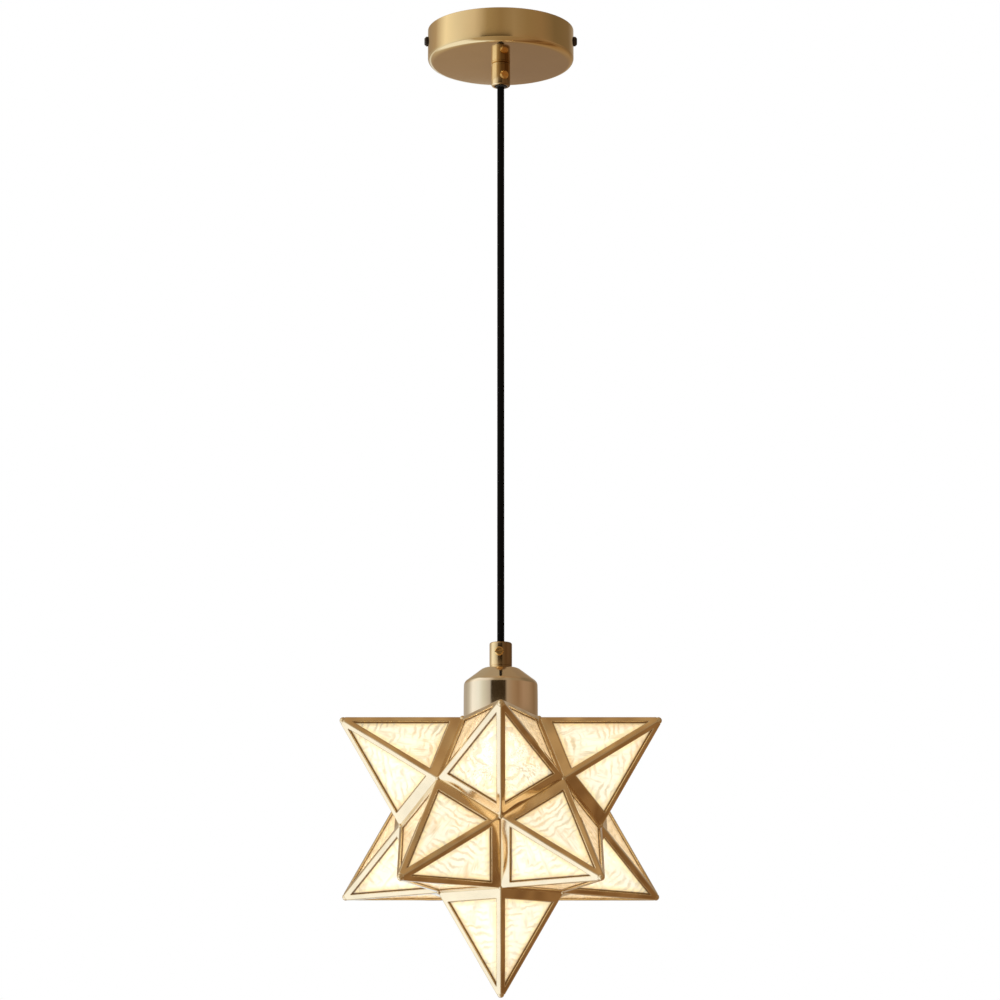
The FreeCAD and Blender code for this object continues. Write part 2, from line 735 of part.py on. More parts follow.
def lampholder_skirt():
    """The lower half of the holder, threaded outside where its two rings sit."""
    shell_bore = SCREW_SHELL_BORE + SCREW_SHELL_WALL + THREAD_GAP
    insert_bore = INSERT_RADIUS + THREAD_GAP
    spigot = HOLDER_RADIUS - HOLDER_CAP_WALL - THREAD_GAP
    spigot_top = holder_joint() + HOLDER_SPIGOT_HEIGHT
    thread_top = STAR_TOP + UPPER_RING_HEIGHT + SKIRT_THREAD_RUN_OUT
    mouth = STAR_TOP - SKIRT_BELOW_PLATE
    return turned(
        (insert_bore, spigot_top),
        (spigot, spigot_top),
        (spigot, holder_joint()),
        (HOLDER_RADIUS, holder_joint()),
        (HOLDER_RADIUS, thread_top),
        (SKIRT_RADIUS, thread_top),
        (SKIRT_RADIUS, mouth),
        (SKIRT_MOUTH_RADIUS, mouth),
        (SKIRT_MOUTH_RADIUS, mouth + SKIRT_MOUTH_DEPTH),
        (shell_bore, mouth + SKIRT_MOUTH_DEPTH + SKIRT_MOUTH_TAPER),
        (shell_bore, INSERT_BASE),
        (insert_bore, INSERT_BASE),
    )


def upper_shade_ring():
    """The plain ring on the skirt's thread, against the top of the star's plate."""
    bore = SKIRT_RADIUS + THREAD_GAP
    return tube(UPPER_RING_RADIUS, bore, STAR_TOP + UPPER_RING_HEIGHT, STAR_TOP)


def shade_ring():
    """The flanged ring under the star's plate that clamps the star to the holder."""
    bore = SKIRT_RADIUS + THREAD_GAP
    bottom = RING_TOP - SHADE_RING_HEIGHT
    return turned(
        (bore, RING_TOP),
        (SHADE_RING_RADIUS, RING_TOP),
        (SHADE_RING_RADIUS, RING_TOP - SHADE_RING_FLANGE),
        (SHADE_RING_COLLAR, RING_TOP - SHADE_RING_FLANGE),
        (SHADE_RING_COLLAR, bottom),
        (bore, bottom),
    )


# ---- bulb ------------------------------------------------------------------------
def bulb_levels():
    """The heights of the bulb's contact, cap, collar and globe."""
    contact_base = BULB_TIP - BULB_CONTACT_HEIGHT
    cap_top = contact_base - BULB_INSULATOR_HEIGHT
    cap_base = cap_top - BULB_CAP_LENGTH
    globe_centre = BULB_TIP - BULB_LENGTH + BULB_RADIUS
    collar_base = globe_centre + math.sqrt(BULB_RADIUS ** 2 - BULB_COLLAR_RADIUS ** 2)
    return contact_base, cap_top, cap_base, collar_base, globe_centre


def bulb_contact():
    contact_base = bulb_levels()[0]
    rounded = BULB_CONTACT_HEIGHT / 2
    return turned(
        (0, contact_base),
        (BULB_CONTACT_RADIUS, contact_base),
        (BULB_CONTACT_RADIUS, BULB_TIP - rounded),
        (BULB_CONTACT_RADIUS - rounded, BULB_TIP),
        (0, BULB_TIP),
    )


def bulb_insulator():
    """The black glass cone between the end contact and the cap."""
    contact_base, cap_top = bulb_levels()[:2]
    return turned(
        (0, contact_base - MOVE_GAP),
        (BULB_CONTACT_RADIUS + BULB_INSULATOR_RIM, contact_base - MOVE_GAP),
        (BULB_CAP_RADIUS - BULB_CAP_SLOPE, cap_top),
        (0, cap_top),
    )


def bulb_cap():
    """The screw cap, plain at the crest of its thread."""
    cap_top, cap_base = bulb_levels()[1:3]
    inner = BULB_CAP_RADIUS - BULB_CAP_WALL
    slope = BULB_CAP_SLOPE
    return turned(
        (0, cap_top),
        (BULB_CAP_RADIUS - slope, cap_top),
        (BULB_CAP_RADIUS, cap_top - slope),
        (BULB_CAP_RADIUS, cap_base),
        (inner, cap_base),
        (inner, cap_top - slope - BULB_CAP_WALL),
        (inner - slope, cap_top - BULB_CAP_WALL),
        (0, cap_top - BULB_CAP_WALL),
    )


def bulb_collar():
    """The white plastic neck: pressed into the cap, recessed below for the board."""
    cap_base, collar_base = bulb_levels()[2:4]
    plug = BULB_CAP_RADIUS - BULB_CAP_WALL - FIT_GAP
    recess = collar_base + BULB_RECESS
    return turned(
        (0, cap_base + BULB_PLUG_LENGTH),
        (plug, cap_base + BULB_PLUG_LENGTH),
        (plug, cap_base),
        (BULB_CAP_RADIUS, cap_base),
        (BULB_COLLAR_RADIUS, collar_base),
        (LED_BOARD_RADIUS + FIT_GAP, collar_base),
        (LED_BOARD_RADIUS + FIT_GAP, recess),
        (0, recess),
    )


def bulb_globe():
    """The opal globe: a ball cut flat where it sits on the collar."""
    collar_base, centre = bulb_levels()[3:5]
    return turned(
        (0, collar_base),
        (BULB_COLLAR_RADIUS, collar_base),
        (0, centre - BULB_RADIUS) + arc_point(0, centre, BULB_RADIUS, -20),
    )


def bulb_led_board():
    """The round board in the collar's recess, with its ring of light sources."""
    seat = bulb_levels()[3] + BULB_RECESS
    face = seat - LED_BOARD_THICKNESS
    board = cylinder(LED_BOARD_RADIUS, seat, face)
    for k in range(LED_COUNT):
        place = compass(360 * k / LED_COUNT) * LED_RING
        board = board.fuse(block(LED_SIZE, LED_SIZE, face, face - LED_HEIGHT, place.x, place.y))
    return board.removeSplitter()


# ---- star ------------------------------------------------------------------------
def star_axes():
    """The twelve five-fold axes of the star, as unit vectors by name."""
    reach = 2 * PHI_SHARE
    axes = {"top": Vector(0, 0, 1), "bottom_point": Vector(0, 0, -1)}
    for k in range(5):
        axes[f"upper_point_{k + 1}"] = compass(72 * k) * reach + UP * PHI_SHARE
        axes[f"lower_point_{k + 1}"] = compass(72 * k + 36) * reach - UP * PHI_SHARE
    return axes


def neighbours(axis):
    """The five axes next to this one, in order round it."""
    near = [other for other in star_axes().values() if abs(other.dot(axis) - PHI_SHARE) < 1e-6]
    side = (near[0] - axis * near[0].dot(axis)).normalize()
    across = axis.cross(side)
    return sorted(near, key=lambda other: math.atan2(other.dot(across), other.dot(side)))


def valley_corner(first, second, third):
    """Where the faces square to three neighbouring axes meet, from the centre."""
    middle = (first + second + third).normalize()
    return middle * (FACE_DISTANCE / middle.dot(first))


def point_faces(axis):
    """The five faces of a point: each its normal, left corner and right corner."""
    around = neighbours(axis)
    faces = []
    for k, normal in enumerate(around):
        left = valley_corner(axis, around[k - 1], normal)
        right = valley_corner(axis, normal, around[(k + 1) % 5])
        faces.append((normal, left, right))
    return faces


def shell_of(faces, apex, scale):
    """The solid from the star's centre out to a point's faces, shrunk by a scale."""
    sides = []
    centre = Vector()
    for _, left, right in faces:
        left_end = left * scale
        right_end = right * scale
        for tip in (apex * scale, centre):
            outline = Part.makePolygon([left_end, right_end, tip, left_end])
            sides.append(Part.Face(outline))
    solid = Part.makeSolid(Part.makeShell(sides))
    if solid.Volume < 0:
        solid.reverse()
    return solid


class StarFace:
    """One triangular face, with x along its base, y up to its tip and depth inward."""

    def __init__(self, axis, normal, left, right):
        self.normal = normal
        self.base_middle = (left + right) * 0.5
        self.along = (right - left).normalize()
        self.upward = (axis * STAR_RADIUS - self.base_middle).normalize()
        self.half_base = (right - left).Length / 2
        self.height = (axis * STAR_RADIUS - self.base_middle).Length
        self.half_tip = math.atan2(self.half_base, self.height)

    def at(self, x, y, depth):
        return self.base_middle + self.along * x + self.upward * y - self.normal * depth

    def prism(self, ridge_inset, valley_inset, top_depth, bottom_depth):
        """The face's triangle, drawn in from its sides, between two depths."""
        apex = self.height - ridge_inset / math.sin(self.half_tip)
        half = (apex - valley_inset) * math.tan(self.half_tip)
        corners = [
            self.at(-half, valley_inset, top_depth),
            self.at(half, valley_inset, top_depth),
            self.at(0, apex, top_depth),
        ]
        outline = Part.makePolygon(corners + corners[:1])
        return Part.Face(outline).extrude(self.normal * (top_depth - bottom_depth))

    def clip(self, start, along, inward, pane_inset):
        """A bent clip, soldered beside a pane's edge and hooked over its back."""
        wall = pane_inset - FIT_GAP
        back = STRIP_METAL + PANE_THICKNESS + FIT_GAP
        outline = [
            (wall - CLIP_METAL, STRIP_METAL),
            (wall, STRIP_METAL),
            (wall, back),
            (wall + CLIP_OVERLAP, back),
            (wall + CLIP_OVERLAP, back + CLIP_METAL),
            (wall - CLIP_METAL, back + CLIP_METAL),
        ]
        corners = []
        for inset, depth in outline:
            corners.append(start + inward * inset - self.normal * depth - along * (CLIP_WIDTH / 2))
        profile = Part.makePolygon(corners + corners[:1])
        return Part.Face(profile).extrude(along * CLIP_WIDTH)

    def clips(self):
        """One clip on each ridge side of the pane."""
        found = []
        for side in (-1, 1):
            foot = self.at(side * self.half_base, 0, 0)
            ridge = (self.at(0, self.height, 0) - foot).normalize()
            inward = (self.at(0, 0, 0) - foot)
            inward = (inward - ridge * inward.dot(ridge)).normalize()
            place = foot + ridge * (self.height / 2 - side * CLIP_SHIFT)
            found.append(self.clip(place, ridge, inward, PANE_RIDGE_INSET))
        return found


def star_faces(axis):
    return [StarFace(axis, *face) for face in point_faces(axis)]


def in_star(shape):
    """Moved from the star's own centre to its place in the lamp."""
    shape.translate(STAR_CENTRE)
    return shape


def point_frame(axis):
    """The soldered frame of one point: five ridge strips and five valley strips."""
    faces = point_faces(axis)
    apex = axis * STAR_RADIUS
    outer = shell_of(faces, apex, 1.0)
    tip_cut = STAR_RADIUS - TIP_BALL_BACK
    beyond = Part.makeCylinder(STAR_RADIUS, STAR_RADIUS, axis * tip_cut, axis)
    outer = outer.cut(beyond)
    ridges = []
    for _, left, _ in faces:
        middle = Part.Vertex((left + apex) * 0.5)
        for edge in outer.Edges:
            if edge.distToShape(middle)[0] < 1e-6:
                ridges.append(edge)
    outer = outer.makeFillet(RIDGE_ROUND, ridges)
    ball = Part.makeSphere(TIP_BALL_RADIUS, axis * tip_cut)
    outer = outer.fuse(ball)
    inner = shell_of(faces, apex, 1 - STRIP_METAL / FACE_DISTANCE)
    filled = Part.makeCylinder(STAR_RADIUS, STAR_RADIUS, axis * (STAR_RADIUS - TIP_FILL), axis)
    frame = outer.cut(inner.cut(filled))
    windows = []
    for face in star_faces(axis):
        windows.append(face.prism(RIDGE_STRIP, VALLEY_STRIP, -STRIP_METAL, 2 * STRIP_METAL))
    frame = frame.cut(windows)
    return in_star(frame)


def panes_of(axis):
    """The five glass panes of one point, laid against the inside of its frame."""
    depth = STRIP_METAL
    panes = []
    for face in star_faces(axis):
        pane = face.prism(PANE_RIDGE_INSET, PANE_VALLEY_INSET, depth, depth + PANE_THICKNESS)
        panes.append(in_star(pane))
    return panes


def ring_panes(start):
    """All panes of the points whose name starts this way."""
    panes = []
    for name, axis in star_axes().items():
        if name.startswith(start):
            panes.extend(panes_of(axis))
    return grouped(panes)


def pane_clips():
    clips = []
    for name, axis in star_axes().items():
        if name != "top":
            for face in star_faces(axis):
                clips.extend(in_star(clip) for clip in face.clips())
    return grouped(clips)


def star_top_plate():
    """The five-sided plate on top, holed for the lampholder's neck."""
    faces = point_faces(UP)
    outline = [left for _, left, _ in faces]
    scale = 1 - STRIP_METAL / FACE_DISTANCE
    top = Part.makePolygon(outline + outline[:1])
    lower = [corner * scale for corner in outline]
    bottom = Part.makePolygon(lower + lower[:1])
    plate = in_star(Part.makeLoft([top, bottom], True, True))
    hole = SKIRT_RADIUS + PLATE_HOLE_CLEARANCE
    return plate.cut(cylinder(hole, STAR_TOP + 1, STAR_TOP - 2 * STRIP_METAL))


# ---- the assembly ------------------------------------------------------------------------
def lamp():
    """Every piece of the lamp, by name."""
    pieces = {
        "ceiling_bracket": ceiling_bracket(),
        "canopy_shell": canopy_shell(),
        "canopy_side_screws": canopy_side_screws(),
        "earth_screw": earth_screw(),
        "terminal_block": terminal_block(),
        "terminal_barrels": terminal_barrels(),
        "terminal_screws": terminal_screws(),
        "canopy_nipple": canopy_nipple(),
        "canopy_lock_nut": canopy_lock_nut(),
        "canopy_cord_grip": canopy_cord_grip(),
        "canopy_grip_bush": canopy_grip_bush(),
        "canopy_grip_screw": canopy_grip_screw(),
        "canopy_cord_tail": canopy_cord_tail(),
        "cord_bend": cord_bend(),
        "cord": cord(),
        "lamp_cord_grip": lamp_cord_grip(),
        "lamp_grip_bush": lamp_grip_bush(),
        "lamp_grip_screw": lamp_grip_screw(),
        "lamp_cord_tail": lamp_cord_tail(),
        "lamp_nipple": lamp_nipple(),
        "lamp_lock_nut": lamp_lock_nut(),
        "socket_cup": socket_cup(),
        "lampholder_cap": lampholder_cap(),
        "lampholder_earth_screw": lampholder_earth_screw(),
        "lampholder_insert": lampholder_insert(),
        "lampholder_terminals": lampholder_terminals(),
        "lampholder_screw_shell": lampholder_screw_shell(),
        "lampholder_contact": lampholder_contact(),
        "lampholder_skirt": lampholder_skirt(),
        "upper_shade_ring": upper_shade_ring(),
        "shade_ring": shade_ring(),
        "bulb_contact": bulb_contact(),
        "bulb_insulator": bulb_insulator(),
        "bulb_cap": bulb_cap(),
        "bulb_collar": bulb_collar(),
        "bulb_globe": bulb_globe(),
        "bulb_led_board": bulb_led_board(),
        "star_top_plate": star_top_plate(),
        "upper_point_panes": ring_panes("upper"),
        "lower_point_panes": ring_panes("lower"),
        "bottom_point_panes": ring_panes("bottom"),
        "pane_clips": pane_clips(),
    }
    for pole, name in enumerate(("live", "neutral", "earth")):
        pieces[f"supply_lead_{name}"] = supply_lead(pole)
        pieces[f"lamp_lead_{name}"] = lamp_lead(pole)
    for name, axis in star_axes().items():
        if name != "top":
            pieces[f"{name}_frame"] = point_frame(axis)
    return pieces


os.makedirs("parts", exist_ok=True)
for piece_name, piece in lamp().items():
    piece.exportStep(f"parts/{piece_name}.step")
    count = len(piece.Solids)
    print(f"{piece_name}: {count} solid(s), {piece.Volume / 1000:.2f} cm3, valid {piece.isValid()}")
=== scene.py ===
import bmesh
import bpy
import json
import math
from mathutils import Matrix, Vector, noise


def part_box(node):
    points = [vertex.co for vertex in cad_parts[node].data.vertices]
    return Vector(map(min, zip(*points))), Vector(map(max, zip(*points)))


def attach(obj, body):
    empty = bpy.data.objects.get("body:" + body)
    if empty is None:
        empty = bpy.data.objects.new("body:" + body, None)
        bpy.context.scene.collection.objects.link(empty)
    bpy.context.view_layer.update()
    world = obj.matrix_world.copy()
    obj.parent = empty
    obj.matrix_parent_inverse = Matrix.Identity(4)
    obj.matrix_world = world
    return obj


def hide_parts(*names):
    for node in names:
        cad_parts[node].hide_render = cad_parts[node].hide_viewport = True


# The star pendant lamp in the studio: camera and cord first, then the metal, the
# star and the bulb. Metres, +Z up, the ceiling at 0, the front towards -Y.

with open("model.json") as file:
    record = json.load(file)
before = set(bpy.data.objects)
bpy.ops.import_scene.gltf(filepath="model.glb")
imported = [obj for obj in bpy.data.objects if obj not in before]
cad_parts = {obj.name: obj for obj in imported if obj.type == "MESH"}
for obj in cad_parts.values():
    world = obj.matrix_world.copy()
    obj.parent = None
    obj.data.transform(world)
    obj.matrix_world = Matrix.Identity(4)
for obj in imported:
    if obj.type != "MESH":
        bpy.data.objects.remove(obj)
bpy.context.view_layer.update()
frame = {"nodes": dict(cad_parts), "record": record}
NODES = frame["nodes"]
MM = 0.001

# ---- camera, as the photograph was taken ---------------------------------------------
CAMERA_PLACE = Vector((-0.0005, -2.548, -0.864))
CAMERA_PITCH = math.radians(11.85)   # looking up
CAMERA_LENS = 139.9                  # millimetres, as the sensor's width is
CAMERA_SENSOR = 36.0

# ---- sizes taken from the frame ------------------------------------------------------
CANOPY_LOW, CANOPY_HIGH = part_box("canopy_shell")
CUP_LOW, CUP_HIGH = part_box("socket_cup")
UPPER_GRIP_LOW, UPPER_GRIP_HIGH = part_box("canopy_cord_grip")
LOWER_GRIP_LOW, LOWER_GRIP_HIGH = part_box("lamp_cord_grip")
GLOBE_LOW, GLOBE_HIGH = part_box("bulb_globe")
CORD_LOW, CORD_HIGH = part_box("cord")
FLEX_LOW, FLEX_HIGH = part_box("cord_bend")
PLATE_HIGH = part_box("star_top_plate")[1]

GLOBE_RADIUS = (GLOBE_HIGH.x - GLOBE_LOW.x) / 2
GLOBE_CENTRE = Vector((0, 0, GLOBE_LOW.z + GLOBE_RADIUS))
CORD_DIAMETER = CORD_HIGH.x - CORD_LOW.x
CORD_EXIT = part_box("canopy_grip_bush")[0].z
FLEX_CENTRE = (FLEX_LOW.z + FLEX_HIGH.z) / 2

# ---- sizes of the star, as its solids have them --------------------------------------
POINT_SIDES = 5
AXIS_COSINE = 1 / math.sqrt(5)       # of the angle between two neighbouring axes
TIP_SHORT = 2.6 * MM                 # a point's sharp tip lies this far past its ball
STAR_DROP = PLATE_HIGH.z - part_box("bottom_point_frame")[0].z + TIP_SHORT
STAR_RADIUS = STAR_DROP / (1 + AXIS_COSINE)
FACE_DISTANCE = STAR_RADIUS * AXIS_COSINE
STAR_CENTRE = Vector((0, 0, PLATE_HIGH.z - FACE_DISTANCE))
STRIP_METAL = 1.2 * MM
RIDGE_STRIP = 3.3 * MM               # width of the strip along a ridge
VALLEY_STRIP = 6.7 * MM              # and along a valley
PANE_THICKNESS = 2.0 * MM
PANE_RIDGE_INSET = 2.7 * MM          # from a ridge in to the pane's edge
PANE_VALLEY_INSET = 4.5 * MM         # and from a valley

# ---- detail that only the picture shows ----------------------------------------------
TURNED_SIDES = 128
ROUND_STEPS = 10
GLOBE_STEPS = 40
CORD_ROUNDNESS = 8
SAME_PLACE = 0.001 * MM
SAME_COSINE = 1e-6
METAL_CREASE = 32                    # degrees from which a crease stays sharp
GLASS_CREASE = 60
PANE_ROWS = 44
RIPPLE_HEIGHT = 0.20 * MM
RIPPLE_LENGTH = 6.5 * MM
RIPPLE_SWAY = 7.0 * MM
SWAY_CELLS = 38.0                    # cells of noise in a metre
SMALL_SWAY_CELLS = 90.0
CALM_CELLS = 60.0
SMALL_SWAY = 0.5                     # against the large sway
CALM_STRENGTH = 0.6                  # the ripple's usual strength, and how much it changes
CALM_CHANGE = 0.8
EDGE_FADE = 8                        # the ripple is whole an eighth of the pane in
BEAD_RADIUS = 1.7 * MM
BEAD_SINK = 0.6 * MM
BEAD_FLATNESS = 0.8
BEAD_FINENESS = 3

# ---- metal: colours, cells of noise in a metre, depths -------------------------------
SATIN_BRASS = (0.78, 0.60, 0.33)
GRIP_BRASS = (0.92, 0.73, 0.45)
# The painted shade on the right side of the cord grips.
GRIP_PAINTED_SHADE = (0.29, 0.20, 0.105)
AMBER_BRASS = (0.86, 0.56, 0.22)
CHAMPAGNE = (0.88, 0.78, 0.63)
FRAME_GOLD = (0.93, 0.77, 0.52)
METAL_CLOUDS = 45.0
METAL_GRAIN = 900.0
METAL_GLOSS = (0.85, 1.2)            # least and most of a metal's roughness
GRAIN_DEPTH = 0.02 * MM
GRIP_SHADE_SPAN = (-3.5 * MM, 0.5 * MM)  # X where the painted shade begins and where it is whole
STRIP_DENTS = 26.0
STRIP_WAVE = 4.0 * MM
STRIP_ROLL = 1.1 * MM
ROLL_SAMPLES = 6

# ---- moulded and sheathed surfaces ---------------------------------------------------
FINE_TEXTURE = 1600.0
FINE_DEPTH = 0.03 * MM
FINE_GLOSS = (0.9, 1.1)              # least and most of a surface's roughness
SPECKLE = 0.9                        # how bright the darker specks are
STRIPE_SCALE = 260.0                 # for stripes 1.2 mm apart
STRIPE_EDGE = (0.45, 0.55)
EARTH_GREEN = (0.06, 0.38, 0.07)
EARTH_YELLOW = (0.85, 0.75, 0.05)

# ---- glass ---------------------------------------------------------------------------
# A range is where a texture or a distance begins to count and where it counts in full.
GLASS_CREAM = (1.0, 0.975, 0.88)
GLASS_IVORY = (1.0, 0.955, 0.85)
# The gold glow and its honey tone near the strips are painted light.
GLASS_GOLD_GLOW = (1.0, 0.87, 0.52)
GLASS_HONEY_GLOW = (0.98, 0.80, 0.44)
# The marks' colours: partly the glass's own, partly painted refraction of the bulb's light.
GLASS_MARK = (0.82, 0.78, 0.63)
GLASS_BUFF = (0.95, 0.80, 0.57)
# A painted reflection of the room on slanting glass.
GLASS_PEACH_REFLECTION = (0.90, 0.68, 0.41)
# A dark line of painted shadow where the glass meets a strip.
GLASS_RIM_SHADOW = (0.20, 0.11, 0.04)
GLASS_CLOUDS = 42.0
CLOUD_RANGE = (0.45, 0.62)
WINDOW_EDGES = "window_edges"        # millimetres in from the ridges' and the valley's strips
RIM_SHADOW_LINE = (0.45, 1.1)               # where the dark line of painted shadow ends, in millimetres from a strip
GOLD_GLOW_EDGE = (0.6, 4.5)               # where the painted gold glow fades to cream
PEACH_REFLECTION_SLANT = (0.5, 0.82)            # how slanting glass turns peach, a painted reflection
MARK_DEPTH = 0.5 * MM
GLOW_RISE = 6.0 * MM                 # the marks' middle lies this far over the globe's
GLOW_DEPTH = 0.15                    # how much of a distance from front to back counts
RING_SCALE = 76.0                    # for rings 4.1 mm apart
RING_RANGE = (0.40, 1.05)
STROKE_CELLS_ACROSS = 30.0           # cells of noise in a radian about the bulb
STROKE_CELLS_ALONG = 55.0            # and in a metre away from it
STROKE_RANGE = (0.48, 0.72)
PATCH_CELLS = 95.0
RING_PATCHES = (0.38, 0.60)
STROKE_PATCHES = (0.42, 0.62)
NEAR_BULB_REFRACTION = 1.9                  # of the marks near the bulb, against those far from it: painted refraction of its light
NEAR_RANGE = (20 * MM, 55 * MM)
PANE_PAINTED_GLOW = 0.36                    # strength of the panes' painted glow, and of the marks'
MARK_PAINTED_GLOW = 0.26
NEAR_BULB_PAINTED_GLOW = 0.45                    # painted glow, added where the bulb lies close behind the panes
NEAR_BULB_GLOW_RANGE = (5 * MM, 21 * MM)
OPAL_CLOUDS = 60.0
OPAL_LIGHT = (1.7, 2.1)

# ---- studio --------------------------------------------------------------------------
FLOOR_LEVEL = -3.4
FLOOR_RADIUS = 9.0
FLOOR_SIDES = 64
FLOOR_LIGHT = 0.45


# ---- mesh helpers --------------------------------------------------------------------
def finished_object(name, bm, body, crease=METAL_CREASE):
    """A smooth-shaded object from a bmesh, riding on a body, with its creases kept sharp."""
    mesh = bpy.data.meshes.new(name)
    bmesh.ops.recalc_face_normals(bm, faces=bm.faces)
    bm.to_mesh(mesh)
    bm.free()
    for polygon in mesh.polygons:
        polygon.use_smooth = True
    mesh.set_sharp_from_angle(angle=math.radians(crease))
    piece = bpy.data.objects.new(name, mesh)
    bpy.context.scene.collection.objects.link(piece)
    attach(piece, body)
    return piece


def rounded(corners):
    """A closed outline of (radius, height) from corners of (radius, height, rounding).

    A circle's arc rounds each corner, and starts and ends the rounding away from it.
    """
    outline = []
    for k, (radius, height, rounding) in enumerate(corners):
        here = Vector((radius, height))
        if rounding == 0:
            outline.append(here)
            continue
        before = Vector(corners[k - 1][:2]) - here
        after = Vector(corners[(k + 1) % len(corners)][:2]) - here
        start = here + before.normalized() * rounding
        end = here + after.normalized() * rounding
        pull = math.sin(before.angle(after) / 2)
        for step in range(ROUND_STEPS + 1):
            t = step / ROUND_STEPS
            shares = ((1 - t) ** 2, 2 * pull * t * (1 - t), t ** 2)
            place = start * shares[0] + here * shares[1] + end * shares[2]
            outline.append(place / sum(shares))
    return outline


def turned(name, corners, body):
    """A piece turned about the lamp's axis from a rounded outline."""
    bm = bmesh.new()
    rings = []
    for point in rounded(corners):
        ring = []
        for side in range(TURNED_SIDES):
            turn = 2 * math.pi * side / TURNED_SIDES
            ring.append(bm.verts.new((point.x * math.cos(turn), point.x * math.sin(turn), point.y)))
        rings.append(ring)
    for k, ring in enumerate(rings):
        other = rings[(k + 1) % len(rings)]
        for side in range(TURNED_SIDES):
            after = (side + 1) % TURNED_SIDES
            bm.faces.new((ring[side], ring[after], other[after], other[side]))
    bmesh.ops.remove_doubles(bm, verts=bm.verts, dist=SAME_PLACE)
    return finished_object(name, bm, body)


# ---- node helpers --------------------------------------------------------------------
def new_material(name):
    """A material with its node tree and its main shader."""
    material = bpy.data.materials.new(name)
    material.use_nodes = True
    tree = material.node_tree
    return material, tree, tree.nodes["Principled BSDF"]


def object_place(tree):
    """Places on the object, in metres."""
    return tree.nodes.new("ShaderNodeTexCoord").outputs["Object"]


def separated(tree, vector):
    """The three numbers of a vector."""
    node = tree.nodes.new("ShaderNodeSeparateXYZ")
    tree.links.new(vector, node.inputs["Vector"])
    return node.outputs["X"], node.outputs["Y"], node.outputs["Z"]


def texture(tree, kind, coordinates, **values):
    """A texture node with its sockets set by name, an underscore for each space."""
    node = tree.nodes.new(kind)
    tree.links.new(coordinates, node.inputs["Vector"])
    for socket, value in values.items():
        node.inputs[socket.replace("_", " ")].default_value = value
    return node


def spread(tree, source, low, high, from_low=0.35, from_high=0.65):
    """A number carried from the range from_low to from_high to the range low to high."""
    node = tree.nodes.new("ShaderNodeMapRange")
    node.inputs["From Min"].default_value = from_low
    node.inputs["From Max"].default_value = from_high
    node.inputs["To Min"].default_value = low
    node.inputs["To Max"].default_value = high
    tree.links.new(source, node.inputs["Value"])
    return node.outputs["Result"]


def combined(tree, operation, first, second):
    """Arithmetic on two numbers, the second of which may be a fixed one."""
    node = tree.nodes.new("ShaderNodeMath")
    node.operation = operation
    tree.links.new(first, node.inputs[0])
    if isinstance(second, float):
        node.inputs[1].default_value = second
    else:
        tree.links.new(second, node.inputs[1])
    return node.outputs["Value"]


def vector_changed(tree, operation, first, second=None):
    """The result of one vector operation, whose second side is a fixed value."""
    node = tree.nodes.new("ShaderNodeVectorMath")
    node.operation = operation
    tree.links.new(first, node.inputs[0])
    if operation == "SCALE":
        node.inputs["Scale"].default_value = second
    elif second is not None:
        node.inputs[1].default_value = second
    return node.outputs["Value" if operation == "LENGTH" else "Vector"]


def mixed(tree, factor, first, second):
    """A colour between two others, each of them fixed or from a node."""
    node = tree.nodes.new("ShaderNodeMix")
    node.data_type = "RGBA"
    tree.links.new(factor, node.inputs["Factor"])
    for socket, colour in (("A", first), ("B", second)):
        if isinstance(colour, tuple):
            node.inputs[socket].default_value = (*colour, 1)
        else:
            tree.links.new(colour, node.inputs[socket])
    return node.outputs["Result"]


def bumped(tree, height, strength, distance, under=None):
    """A normal with fine relief, on another normal if one is given."""
    node = tree.nodes.new("ShaderNodeBump")
    node.inputs["Strength"].default_value = strength
    node.inputs["Distance"].default_value = distance
    tree.links.new(height, node.inputs["Height"])
    if under is not None:
        tree.links.new(under, node.inputs["Normal"])
    return node.outputs["Normal"]


# ---- metal ---------------------------------------------------------------------------
def brushed(tree, shader, colour, roughness, grain=0.0, shade=0.93):
    """Faint changes of colour and gloss, and a brushed grain. Gives the colour's output."""
    clouds = texture(tree, "ShaderNodeTexNoise", object_place(tree), Scale=METAL_CLOUDS, Detail=4.0)
    darker = tuple(channel * shade for channel in colour)
    tone = mixed(tree, spread(tree, clouds.outputs["Fac"], 0, 1), colour, darker)
    tree.links.new(tone, shader.inputs["Base Color"])
    lines = texture(tree, "ShaderNodeTexNoise", object_place(tree), Scale=METAL_GRAIN, Detail=3.0)
    gloss = spread(tree, lines.outputs["Fac"], *(roughness * share for share in METAL_GLOSS))
    tree.links.new(gloss, shader.inputs["Roughness"])
    relief = bumped(tree, lines.outputs["Fac"], grain, GRAIN_DEPTH)
    tree.links.new(relief, shader.inputs["Normal"])
    shader.inputs["Metallic"].default_value = 1.0
    return tone


def metal(name, colour, roughness, grain=0.0, shade=0.93):
    """A metal in one colour, polished unless its roughness and grain say otherwise."""
    material, tree, shader = new_material(name)
    brushed(tree, shader, colour, roughness, grain, shade)
    return material


def strip_brass():
    """Polished brass strip: edges a little rolled, faces not quite flat."""
    material, tree, shader = new_material("frame_brass")
    brushed(tree, shader, FRAME_GOLD, 0.08, shade=0.9)
    rolled = tree.nodes.new("ShaderNodeBevel")
    rolled.samples = ROLL_SAMPLES
    rolled.inputs["Radius"].default_value = STRIP_ROLL
    dents = texture(tree, "ShaderNodeTexNoise", object_place(tree), Scale=STRIP_DENTS, Detail=1.0)
    wavy = bumped(tree, dents.outputs["Fac"], 1.0, STRIP_WAVE, rolled.outputs["Normal"])
    tree.links.new(wavy, shader.inputs["Normal"])    # in place of the grain
    return material


